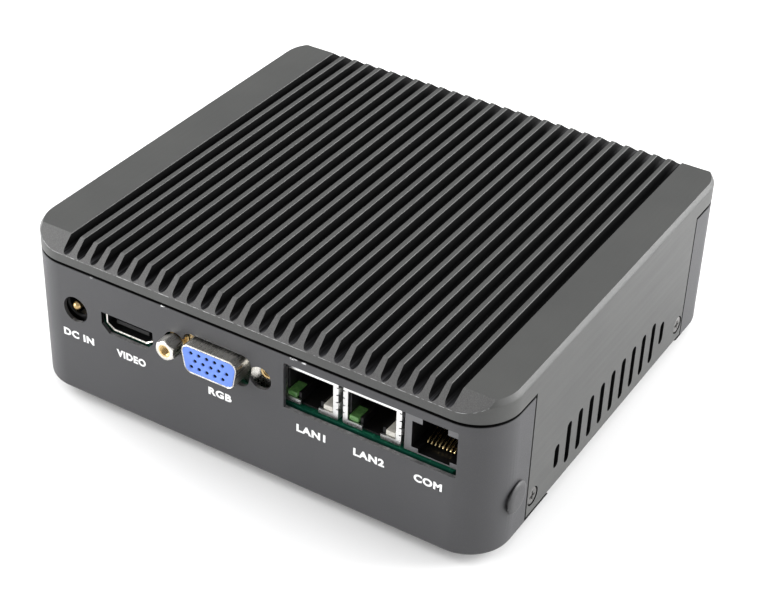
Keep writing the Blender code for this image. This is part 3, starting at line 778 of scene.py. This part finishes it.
def tray_cavity():
    """Plan of the space inside the tray. It leaves both ends and four screw tabs, and opens at the sides."""
    skirt_x = HALF_W - SKIRT - GAP
    tab_x = skirt_x - 1.8
    edge = SEAM_Y + SEAM_HALF
    root = edge + 3
    tip = middle("cover_screw_right_rear").y - 3.6
    corner = [(x, y) for x, y in plan(WALL) if x > 0 and y > 0]
    quarter = list(reversed(corner)) + [(HALF_W - WALL, root), (tab_x, root), (tab_x, tip)]
    quarter += [(skirt_x, tip), (skirt_x, edge), (HALF_W + 60, edge)]
    turned = quarter + [(x, -y) for x, y in reversed(quarter)]
    return turned + [(-x, -y) for x, y in turned]


def tray_body():
    """Outer block of the tray: rolled lower edge, eased upper edge."""
    levels = []
    for k in range(6):
        turn = math.radians(18 * k)
        levels.append((plan(1.2 * (1 - math.sin(turn))), 1.2 * (1 - math.cos(turn))))
    levels += [(plan(0), SEAM_LOW - 0.18), (plan(0.05), SEAM_LOW - 0.05), (plan(0.18), SEAM_LOW)]
    return lofted("Z", levels)


def make_tray():
    made = solid("tray", tray_body(), PAINTED, SHADED, SILL_HIGHLIGHT)
    carve(made, shape((tray_cavity(), "Z", FLOOR, TOP)))
    trims = bmesh.new()
    for sign in (-1, 1):
        left, right = side_range(sign, HALF_W - 1.3, HALF_W + 2)
        prism(trims, box(left, -33.0, right, 43.0), "Z", -1, FLOOR + 1)
        left, right = side_range(sign, HALF_W - WALL - 5, HALF_W - SKIRT - GAP + 0.1)
        for y in (-SEAM_Y, SEAM_Y):
            prism(trims, box(left, y - 8, right, y + 8), "Z", TOP - SLAB - 0.4, SEAM_LOW + 1)
    carve(made, trims)
    openings = bmesh.new()
    cut_front_panel(openings)
    cut_rear_panel(openings)
    for sign, side in SIDES:
        plug = middle(f"antenna_plug_{side}")
        across = side_range(sign, HALF_W - WALL - 2, HALF_W + 2)
        prism(openings, circle(plug.y, plug.z, PLUG_HOLE_R, 32), "X", *across)
    carve(made, openings)
    x, z = rgb_centre()
    lobes = [(circle(x + reach, z, LOBE_R, 40), "Y", *FRONT_CUT) for reach in (-JACK_REACH, JACK_REACH)]
    carve(made, shape(*lobes))
    paint(made, SHADED, out_of_light)
    # Painted highlight on the upward-facing sills of the front openings.
    paint(made, SILL_HIGHLIGHT, on_sill)
    emit(made, "paint", "chassis_tray")


def cut_front_panel(openings):
    inlet = middle("dc_jack_pin")
    prism(openings, circle(inlet.x + INLET_SHIFT, inlet.z, INLET_R, 40), "Y", *FRONT_CUT)
    prism(openings, video_outline(0.45), "Y", *FRONT_CUT)
    prism(openings, d_outline(*rgb_centre(), *RGB_CUT, 8), "Y", *FRONT_CUT)
    left, right = span("lan1_shield")[0].x + 2.1, span("com_socket_body")[1].x - 0.9
    prism(openings, rounded(left, WINDOW_LOW, right, WINDOW_HIGH, 0.4, 4), "Y", *FRONT_CUT)


def cut_rear_panel(openings):
    panel = (INNER_REAR - 2, HALF_D + 3)
    button = middle("power_button")
    prism(openings, circle(button.x, button.z, BUTTON_HOLE_R, 48), "Y", *panel)
    for name in ("power", "drive"):
        low, high = span(f"{name}_light_pipe")
        prism(openings, circle((low.x + high.x) / 2, high.z - PIPE_R, PIPE_R - GAP, 24), "Y", *panel)
    for number in range(1, 5):
        prism(openings, front_view(*span(f"usb_shell_{number}"), 0.5, GAP, 4), "Y", *panel)


def on_sill(face):
    """Lower edges of the openings in the front panel, facing up; they get the painted highlight."""
    in_panel = face.center.y < INNER_FRONT + 0.1 and 10 < face.center.z < SEAM_LOW - 1
    return in_panel and face.normal.z > 0.9


def out_of_light(face):
    """Inside of the tray and its upper rim."""
    x, y, z = face.center
    if face.normal.z > 0.9:
        return z > SEAM_LOW - 0.02 or abs(z - FLOOR) < 0.1
    facing_in = Vector((x, y)).dot(face.normal.xy) < -0.3
    return facing_in and max(abs(x) - HALF_W, abs(y) - HALF_D) < -0.55


def cross(reach, thin):
    """Outline of a cross recess."""
    points = [(reach, -thin), (reach, thin), (thin, thin), (thin, reach), (-thin, reach), (-thin, thin)]
    return points + [(-u, -v) for u, v in points]


def make_side_screws():
    for sign, side in SIDES:
        for end in ENDS:
            node = f"cover_screw_{side}_{end}"
            centre = middle(node)
            body = turned(screw_profile(sign, 0), "X", (centre.y, centre.z))
            made = solid(f"screw_{side}_{end}", body, BLACK_ZINC)
            recess = bmesh.new()
            levels = ((1.45, 0.34, 0.2), (1.3, 0.3, -0.2), (0.5, 0.14, -1.3))
            rings = []
            for reach, thin, out in levels:
                along = sign * (HALF_W + out)
                rings.append([(along, centre.y + u, centre.z + v) for u, v in cross(reach, thin)])
            loft(recess, rings)
            carve(made, recess)
            emit(made, "steel", node)


def make_plugs():
    for sign, side in SIDES:
        node = f"antenna_plug_{side}"
        low, high = span(node)
        face = HALF_W + GAP
        head = (high.y - low.y) / 2
        dome = max(abs(low.x), abs(high.x))
        stem = PLUG_HOLE_R - GAP
        profile = [(0, dome), (head - 1.6, dome - 0.03), (head - 0.8, dome - 0.14)]
        profile += [(head - 0.25, dome - 0.38), (head, face + 0.25), (head, face)]
        profile += [(stem, face), (stem, face - 3.4), (0, face - 3.4)]
        profile = [(radius, sign * along) for radius, along in profile]
        body = turned(profile, "X", ((low.y + high.y) / 2, (low.z + high.z) / 2), 56)
        emit(solid(f"hole_plug_{side}", body, SATIN), "black_plastic", node)


def make_feet():
    for _, side in SIDES:
        for end in ENDS:
            node = f"foot_{side}_{end}"
            low, high = span(node)
            radius = (high.x - low.x) / 2
            profile = [(0, high.z), (radius, high.z), (radius - 0.05, high.z - 0.2)]
            profile += [(radius - 0.5, low.z + 0.5), (radius - 0.65, low.z + 0.18), (radius - 0.95, low.z)]
            profile += [(radius - 2.2, low.z), (radius - 2.5, low.z + 0.25), (0, low.z + 0.25)]
            body = turned(profile, "Z", ((low.x + high.x) / 2, (low.y + high.y) / 2), 48)
            emit(solid(f"rubber_foot_{side}_{end}", body, RUBBER), "rubber", node)


# ------ front sockets


def make_dc_inlet():
    low, high = span("dc_jack_body")
    x, face, z = (low.x + high.x) / 2, low.y, (low.z + high.z) / 2
    made = solid("dc_inlet_body", shape((front_view(low, high, 0.6), "Y", face, high.y)), BLACK)
    deep = face + 10
    bore = [(0, face - 1), (3.5, face - 1), (3.45, face), (3.1, face + 0.35), (3.1, deep), (0, deep)]
    carve(made, turned(bore, "Y", (x, z)))
    emit(made, "black_plastic", "dc_jack_body")
    tip, root = (corner.y for corner in span("dc_jack_pin"))
    pin = [(0, tip), (0.45, tip + 0.06), (0.85, tip + 0.3), (1.2, tip + 0.8), (1.2, root), (0, root)]
    emit(solid("dc_inlet_pin", turned(pin, "Y", (x, z), 24), BRASS), "brass", "dc_jack_pin")
    leaf = [(0.4, -2.55), (3.5, -1.9), (9.5, -2.2), (9.5, -2.45), (3.5, -2.1)]
    leaf = shape(([(face + run, z + drop) for run, drop in leaf], "X", x, x + 1.6))
    emit(solid("dc_inlet_spring", leaf, TIN), "nickel")


def video_outline(grow, radius=0.0):
    """Six-sided opening of the digital video socket, cut at its lower corners."""
    low, high = span("video_shell")
    half = (high.x - low.x) / 2 + grow
    side = [(half, high.z + grow), (half, low.z + 1.75), (half - 2.2, low.z - grow)]
    corners = mirrored((low.x + high.x) / 2, side)
    return round_corners(corners, radius, 3) if radius else corners


def make_video_socket():
    low, high = span("video_shell")
    lip, back = low.y, high.y
    rims = ((-0.18, lip), (-0.02, lip + 0.15), (0.0, lip + 0.4), (0.0, back))
    shell = lofted("Y", [(video_outline(grow, 0.5), along) for grow, along in rims])
    made = solid("video_socket_shell", shell, NICKEL, BLACK)
    rims = ((-0.2, lip - 0.5), (-0.2, lip), (-0.45, lip + 0.25), (-0.45, back - 0.45))
    carve(made, lofted("Y", [(video_outline(grow, 0.35), along) for grow, along in rims]))
    centre = (low + high) / 2
    # Painted shade: the shell's inner walls past the lip get the black moulding colour, for the shade inside
    # the mouth.
    paint(made, BLACK, lambda face: face.center.y > lip + 0.5 and (face.center - centre).dot(face.normal) < 0)
    emit(made, "nickel", "video_shell")
    (left, _, floor), (right, _, top) = span("video_tongue")
    nose = lip + 1.2
    side = [(nose, 1.15), (nose + 0.35, 1.0), (back - 3.0, 1.0), (back - 3.0, 0.0), (back - 0.8, 0.0)]
    tongue = [(y, floor + z) for y, z in side] + [(y, top - z) for y, z in reversed(side)]
    made = solid("video_socket_tongue", shape((tongue, "X", left, right)), BLACK)
    emit(made, "black_plastic", "video_tongue")
    pads = bmesh.new()
    for k in range(19):
        x = (left + right) / 2 + (k - 9) * 0.5
        level = top - 1.0 if k % 2 else floor + 1.0
        prism(pads, box(x - 0.13, level - 0.05, x + 0.13, level + 0.05), "Y", nose + 0.5, back - 3.2)
    emit(solid("video_socket_contacts", pads, GOLD), "gold")


def rgb_outline(x, z, grow, radius):
    return d_outline(x, z, RGB_W + 2 * grow, RGB_H + 2 * grow, radius, 8)


def make_rgb_shell(x, z):
    low, high = span("rgb_shell")
    mouth = low.y
    face = high.y - 0.8
    plate = front_view(low, high, 0.8)
    made = soften(solid("rgb_connector_shell", shape((plate, "Y", face, high.y)), NICKEL), 0.2)
    rims = [(-0.34, mouth), (-0.1, mouth + 0.1), (0.0, mouth + 0.34), (0.0, face - 1.6)]
    rims += [(0.1, face - 0.9), (0.4, face - 0.3), (0.9, face + 0.1)]
    carve(made, lofted("Y", [(rgb_outline(x, z, grow, 2.2 + grow), along) for grow, along in rims]), "UNION")
    rims = ((-0.3, mouth - 0.5), (-0.3, mouth), (-0.45, mouth + 0.12), (-0.5, mouth + 0.35), (-0.5, face + 2))
    throat = lofted("Y", [(rgb_outline(x, z, grow, 2.2 + grow), along) for grow, along in rims])
    for reach in (-JACK_REACH, JACK_REACH):
        prism(throat, circle(x + reach, z, 1.75, 32), "Y", face - 1, face + 2)
    carve(made, throat)
    emit(made, "nickel", "rgb_shell")
    start = face + 0.1
    bush = [(1.72, start)] + thread(start) + [(1.72, start + 4.7)]
    emit(solid("rgb_flange_bush", turned(bush, "Y", (x + JACK_REACH, z), 32), BRASS), "brass")


def make_rgb_insert(x, z):
    low, high = span("rgb_insert")
    front = low.y
    back = span("rgb_shell")[1].y + GAP
    face = shape((rgb_outline(x, z, -0.51, 1.7), "Y", front - 0.25, back + 1))
    made = solid("rgb_connector_insert", face, BLUE, BLACK)
    carve(made, shape((box(low.x, low.z, high.x, high.z), "Y", back, high.y)), "UNION")
    paint(made, BLACK, lambda face: face.center.y > back - 0.1)
    pins = bmesh.new()
    for row in range(3):
        for k in range(5):
            u = x + (k - 2) * PIN_PITCH + (0.6 if row == 1 else -0.55)
            v = z + (1 - row) * ROW_PITCH
            profile = [(0, front - 0.8), (0.62, front - 0.8), (0.6, front - 0.25), (0.44, front - 0.05)]
            lathe(pins, profile + [(0.44, front + 3.5), (0, front + 3.5)], "Y", (u, v), 16)
    carve(made, pins)
    # Painted shade: the pin holes and the sides behind the front face get the black moulding colour; the
    # insert itself is blue.
    paint(made, BLACK, lambda face: face.center.y > front + 0.2)
    emit(made, "blue_plastic", "rgb_insert")


def thread(start):
    """Inner profile of a threaded hole that starts at a place along its axis."""
    profile = []
    for k in range(THREAD_TURNS):
        at = start + k * THREAD_PITCH
        profile += [(1.3, at + 0.12), (1.3, at + 0.22), (1.55, at + 0.42), (1.55, at + 0.5)]
    return profile


def make_jackscrew(x, z):
    low, high = span("jackscrew_left")
    tip = low.y
    root = span("rgb_shell")[1].y - 0.8 - GAP
    hexagon = circle(x, z, 5.0 / math.sqrt(3), 6)
    made = solid("jackscrew_body", shape((hexagon, "Y", tip, root)), NICKEL, BRASS)
    profile = [(0, tip), (2.42, tip), (2.62, tip + 0.16), (3.1, tip + 0.75), (3.1, tip + 3.9)]
    profile += [(2.1, tip + 4.4), (2.1, root - 0.9), (2.75, root - 0.8), (2.75, root + 1), (0, root + 1)]
    carve(made, turned(profile, "Y", (x, z), 48), "INTERSECT")
    carve(made, shape((circle(x, z, 1.4, 24), "Y", root - 0.2, high.y)), "UNION")
    profile = [(0, tip - 0.5), (1.95, tip - 0.5), (1.7, tip)] + thread(tip)
    carve(made, turned(profile + [(1.3, tip + 4.9), (0, tip + 5.2)], "Y", (x, z), 32))

    def brassy(face):
        in_hole = math.hypot(face.center.x - x, face.center.z - z) < 1.6 and face.center.y < root - 0.3
        return in_hole or face.center.y > tip + 4.0

    paint(made, BRASS, brassy)
    emit(made, "nickel", "jackscrew_left", smooth=40)


def make_rgb_socket():
    x, z = rgb_centre()
    make_rgb_shell(x, z)
    make_rgb_insert(x, z)
    make_jackscrew(x - JACK_REACH, z)


def make_lan_shield(number):
    low, high = span(f"lan{number}_shield")
    face, back = low.y, high.y
    left, right, sit, top = low.x, high.x, low.z, high.z
    centre, half = (left + right) / 2, (right - left) / 2
    made = solid(f"lan{number}_socket_shield", shape((front_view(low, high, 0.5), "Y", face, back)), TIN)
    soften(made, 0.22)
    carve(made, shape((box(left + 0.5, sit - 2, right - 0.5, top - 0.5), "Y", face + 0.5, back - 0.5)))
    side = [(half - 1.4, top - 0.7), (half - 1.4, sit + 1.5), (2.5, sit + 1.5), (2.5, sit - 1)]
    cutters = shape((mirrored(centre, side), "Y", face - 1, face + 0.8))
    fingers = bmesh.new()
    bow = [(0.0, 0.2), (0.22, 0.9), (0.4, 2.2), (0.32, 3.6), (0.0, 5.0)]
    for z in (sit + 3.2, sit + 7.4):
        for edge, sign in ((left, -1), (right, 1)):
            start, end = sorted((edge + sign, edge - sign * 0.55))
            for slit in (z, z + 2.1):
                prism(cutters, box(start, slit - 0.16, end, slit + 0.16), "Y", face - 1, face + 6)
            outer = [(edge + sign * out, face + run) for out, run in bow]
            inner = [(edge + sign * (out - 0.2), face + run) for out, run in reversed(bow)]
            prism(fingers, outer + inner, "Z", z + 0.2, z + 1.9)
    carve(made, cutters)
    for start in (left + 0.25, right - 3.9):
        prism(fingers, box(start, face - 0.15, start + 3.6, face + 0.25), "Z", sit - 4.2, sit - 1.75)
    emit(solid(f"lan{number}_shield_springs", fingers, TIN), "nickel")
    emit(made, "nickel", f"lan{number}_shield")
    return centre


def contact_row(centre, path, radius):
    bm = bmesh.new()
    for k in range(CONTACTS):
        wire(bm, centre + (k - (CONTACTS - 1) / 2) * CONTACT_PITCH, path, radius)
    return bm


def make_lan(number):
    centre = make_lan_shield(number)
    low, high = span(f"lan{number}_insert")
    shield_low, shield_high = span(f"lan{number}_shield")
    face, sit, top = shield_low.y, shield_low.z, shield_high.z
    block = shape((box(low.x, low.z, high.x, high.z), "Y", low.y, high.y))
    core = solid(f"lan{number}_socket_insert", block, BLACK)
    roof = top - LAN_ROOF
    side = [(CAVITY_HALF, roof), (CAVITY_HALF, sit + 3.1), (2.7, sit + 3.1), (2.7, sit + 0.5)]
    carve(core, shape((mirrored(centre, side), "Y", face - 1, face + 14)))
    pockets = bmesh.new()
    for lamp, sign in (("link", -1), ("activity", 1)):
        lamp_low, lamp_high = span(f"lan{number}_{lamp}_light")
        inner = lamp_high.x + GAP if sign < 0 else lamp_low.x - GAP
        across = sorted((inner, centre + sign * 12))
        prism(pockets, box(across[0], sit - 1, across[1], lamp_high.z + GAP), "Y", face, lamp_high.y + GAP)
        glass = front_view(lamp_low, lamp_high, 0.25)
        look = GREEN_LENS if lamp == "link" else CLEAR_LENS
        made = solid(f"lan{number}_{lamp}_lens", shape((glass, "Y", lamp_low.y, lamp_high.y)), look)
        slot = "green_lens" if lamp == "link" else "clear_lens"
        emit(soften(made, 0.15), slot, f"lan{number}_{lamp}_light")
    carve(core, pockets)
    emit(core, "black_plastic", f"lan{number}_insert")
    path = [(13.8, 0.5), (4.0, 0.5), (3.3, 0.8), (3.6, 1.3), (10.5, 4.6)]
    contacts = contact_row(centre, [(face + run, roof - drop) for run, drop in path], 0.2)
    emit(solid(f"lan{number}_contacts", contacts, GOLD), "gold")


def make_com():
    low, high = span("com_socket_body")
    face, sit, top = low.y, low.z, high.z
    left, right = low.x, high.x
    centre = (left + right) / 2
    body = [(left, face), (right - 1.4, face), (right, face + 1.0), (right, high.y), (left, high.y)]
    made = soften(solid("com_socket", shape((body, "Z", sit, top)), GREY, BLACK), 0.2)
    side = [(3.3, top - 1.5), (3.3, top - 3.5), (CAVITY_HALF, top - 3.5)]
    side += [(CAVITY_HALF, sit + 1.5), (4.15, sit + 1.5), (4.15, sit + 0.5)]
    carve(made, shape((mirrored(centre, side), "Y", face - 1, face + 13.5)))

    def inside(wall):
        x, y, z = wall.center
        return y > face + 0.3 and abs(x - centre) < CAVITY_HALF + 0.02 and sit + 0.4 < z < top - 1.4

    # Painted shade: the walls inside the socket's mouth get the black moulding colour; the body is grey.
    paint(made, BLACK, inside)
    emit(made, "grey_plastic", "com_socket_body")
    low, high = span("com_contacts")
    floor, front, back = low.z, low.y, high.y
    path = [(back, 0.3), (front + 1.1, 0.3), (front + 0.55, 0.42), (front + 0.35, 0.75)]
    path += [(front + 0.7, 1.15), (front + 3.2, 2.0), (back - 2.6, 2.75)]
    contacts = contact_row(centre, [(y, floor + rise) for y, rise in path], 0.22)
    emit(solid("com_contact_wires", contacts, GOLD), "gold", "com_contacts")


# ------ opposite panel


def make_usb(number):
    low, high = span(f"usb_shell_{number}")
    mouth, back = high.y, low.y

    def sleeve(*rims):
        return lofted("Y", [(front_view(low, high, 0.4, grow), along) for grow, along in rims])

    outside = sleeve((0.0, back), (0.0, mouth - 0.5), (-0.04, mouth - 0.2), (-0.2, mouth))
    made = solid(f"usb_{number}_shell", outside, NICKEL)
    carve(made, sleeve((-0.4, back + 0.5), (-0.4, mouth - 0.5), (-0.25, mouth - 0.05), (-0.22, mouth + 0.5)))
    windows = bmesh.new()
    for x in (low.x + 3.2, high.x - 6.2):
        window = rounded(x, mouth - 9.5, x + 3.0, mouth - 5.0, 0.4)
        prism(windows, window, "Z", low.z - 0.2, low.z + 0.3)
        prism(windows, window, "Z", high.z - 0.3, high.z + 0.2)
    carve(made, windows)
    emit(made, "nickel", f"usb_shell_{number}")
    tongue_low, tongue_high = span(f"usb_tongue_{number}")
    step = (tongue_low.z + tongue_high.z) / 2 + 0.7
    root, nose, top = tongue_low.y, tongue_high.y, tongue_high.z
    side = [(root, tongue_low.z), (root + 3.7, tongue_low.z), (root + 3.7, step), (nose - 0.4, step)]
    side += [(nose, step + 0.35), (nose, top - 0.2), (nose - 0.2, top), (root, top)]
    look, slot = (DEEP_BLUE, "blue_plastic") if number < 3 else (BLACK, "black_plastic")
    blade = solid(f"usb_{number}_tongue", shape((side, "X", tongue_low.x, tongue_high.x)), look)
    emit(blade, slot, f"usb_tongue_{number}")
    pads = bmesh.new()
    for k, pitch in enumerate((-3.5, -1.0, 1.0, 3.5)):
        x = (tongue_low.x + tongue_high.x) / 2 + pitch
        end = nose - (1.0 if k in (0, 3) else 1.9)
        prism(pads, box(x - 0.5, step - 0.12, x + 0.5, step + 0.02), "Y", root + 4.0, end)
    emit(solid(f"usb_{number}_contacts", pads, GOLD), "gold")


def make_power_button():
    low, high = span("power_button")
    x, z = (low.x + high.x) / 2, (low.z + high.z) / 2
    cap = high.y
    flange = low.y + 3.5
    radius = BUTTON_HOLE_R - GAP
    rim = radius + 0.7
    profile = [(0, cap - 0.22), (2.0, cap - 0.2), (2.9, cap - 0.08), (3.25, cap), (radius - 0.35, cap - 0.02)]
    profile += [(radius - 0.1, cap - 0.12), (radius, cap - 0.38), (radius, flange), (rim, flange)]
    profile += [(rim, flange - 0.8), (1.6, flange - 0.8), (1.6, low.y), (0, low.y)]
    body = turned(profile, "Y", (x, z), 64)
    emit(solid("power_button_cap", body, ALUMINIUM), "nickel", "power_button", body="button")


def make_light_pipes():
    for name in ("power", "drive"):
        low, high = span(f"{name}_light_pipe")
        x, z = (low.x + high.x) / 2, high.z - PIPE_R
        end, root = high.y, low.y + 3.5
        rod = [(0, end), (0.55, end - 0.05), (0.9, end - 0.25), (1.0, end - 0.55)]
        rod += [(1.0, root - 1), (0, root - 1)]
        made = solid(f"{name}_light_rod", turned(rod, "Y", (x, z), 24), CLEAR_LENS)
        block = rounded(x - PIPE_R, low.z, x + PIPE_R, high.z, 0.3)
        carve(made, shape((block, "Y", low.y, root)), "UNION")
        emit(made, "clear_lens", f"{name}_light_pipe")


# ------ lettering and inner pieces


def letter(name, text, left, right, foot=LETTER_LOW):
    """Printed word on the front panel, fitted between two places along X."""
    curve = bpy.data.curves.new(name, "FONT")
    curve.body = text
    curve.offset = 0.045
    curve.extrude = 0.01
    curve.resolution_u = 6
    curve.space_character = 1.12
    draft = add(name, curve)
    mesh = final_mesh(draft)
    bpy.data.objects.remove(draft)
    us = [v.co.x for v in mesh.vertices]
    vs = [v.co.y for v in mesh.vertices]
    for vert in mesh.vertices:
        u = (vert.co.x - min(us)) / (max(us) - min(us))
        v = (vert.co.y - min(vs)) / (max(vs) - min(vs))
        out = INK if vert.co.z > 0 else 0.0
        vert.co = (left + u * (right - left), -HALF_D - out, foot + v * LETTER_HIGH)
    mesh.materials.clear()
    mesh.materials.append(WHITE_INK)
    emit(add(name, mesh), "clear_lens")


def make_lettering():
    letter("mark_dc_in", "DC IN", -55.5, -45.9, LETTER_LOW - 0.3)
    letter("mark_video", "VIDEO", -38.7, -29.7, LETTER_LOW - 0.3)
    letter("mark_rgb", "RGB", -10.7, -3.9)
    letter("mark_lan1", "LAN1", 14.8, 22.9)
    letter("mark_lan2", "LAN2", 30.6, 39.0)
    letter("mark_com", "COM", 46.9, 54.3)


def dress(look, *nodes):
    """Gives CAD nodes that stay in view a finished material."""
    for node in nodes:
        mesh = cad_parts[node].data
        mesh.materials.clear()
        mesh.materials.append(look)


def dress_inside():
    corners = [f"{side}_{end}" for _, side in SIDES for end in ENDS]
    dress(BOARD, "main_board")
    dress(CARD, "memory_module", "storage_card")
    dress(BRASS, *(f"board_post_{corner}" for corner in corners))
    dress(STEEL, "coin_cell", *(f"board_screw_{corner}" for corner in corners))
    dress(CHIP, "processor")
    dress(BLACK, "memory_socket", "storage_socket", "coin_cell_holder", "power_switch")
    dress(ALUMINIUM, "heat_block")


# ------ camera, light and floor


def make_camera():
    data = bpy.data.cameras.new("camera")
    data.lens = LENS
    data.sensor_width = SENSOR
    data.clip_start = 0.01
    data.clip_end = 20
    a, e, roll = (math.radians(x) for x in (AZIMUTH, ELEVATION, ROLL))
    back = Vector((math.sin(a) * math.cos(e), -math.cos(a) * math.cos(e), math.sin(e)))
    right = (-back).cross(Vector((0, 0, 1))).normalized()
    down = (-back).cross(right)
    across = math.cos(roll) * right + math.sin(roll) * down
    under = -math.sin(roll) * right + math.cos(roll) * down
    made = add("camera", data)
    made.matrix_world = Matrix.Translation(EYE) @ Matrix((across, -under, back)).transposed().to_4x4()
    bpy.context.scene.camera = made


def soft_light(name, place_at, target, size, power):
    data = bpy.data.lights.new(name, "AREA")
    data.shape = "RECTANGLE"
    data.size, data.size_y = size
    data.energy = power
    made = add(name, data)
    made.location = place_at
    made.rotation_euler = (Vector(target) - Vector(place_at)).to_track_quat("-Z", "Y").to_euler()


def make_studio():
    world = bpy.data.worlds.new("studio")
    world.use_nodes = True
    sky = world.node_tree.nodes["Background"].inputs
    sky["Color"].default_value = (1.0, 1.0, 1.0, 1.0)
    sky["Strength"].default_value = 0.6
    bpy.context.scene.world = world
    bpy.context.scene.view_settings.view_transform = "Standard"
    soft_light("overhead", (-0.1, 0.25, 0.9), (0, 0, 0), (0.9, 0.7), 2.0)
    soft_light("right_wall", (0.9, 0.15, 0.35), (0, 0, 0.02), (0.9, 0.7), 4.5)
    soft_light("right_rear", (0.7, 0.7, 0.4), (0, 0, 0.02), (0.7, 0.6), 15)
    soft_light("left_wall", (-0.9, -0.1, 0.4), (0, 0, 0.02), (0.7, 0.6), 12)
    soft_light("near_left", (-0.45, -0.45, 0.15), (-0.03, -0.03, 0.02), (0.25, 0.25), 2.5)
    bm = bmesh.new()
    bmesh.ops.create_grid(bm, x_segments=8, y_segments=8, size=3000)
    bmesh.ops.translate(bm, verts=bm.verts, vec=(0, 0, -LIFT - 0.02))
    look = Look("pale_floor", Roughness=0.8)
    look.colour(look.mix(look.noise(3), grey(0.88), grey(0.92)))
    floor = solid("floor", bm, look.material)
    floor.data.transform(Matrix.Scale(MM, 4) @ Matrix.Translation((0, 0, LIFT)))


make_camera()
make_studio()
make_cover()
make_tray()
make_side_screws()
make_plugs()
make_feet()
make_dc_inlet()
make_video_socket()
make_rgb_socket()
for port in (1, 2):
    make_lan(port)
make_com()
for port in range(1, 5):
    make_usb(port)
make_power_button()
make_light_pipes()
make_lettering()
dress_inside()
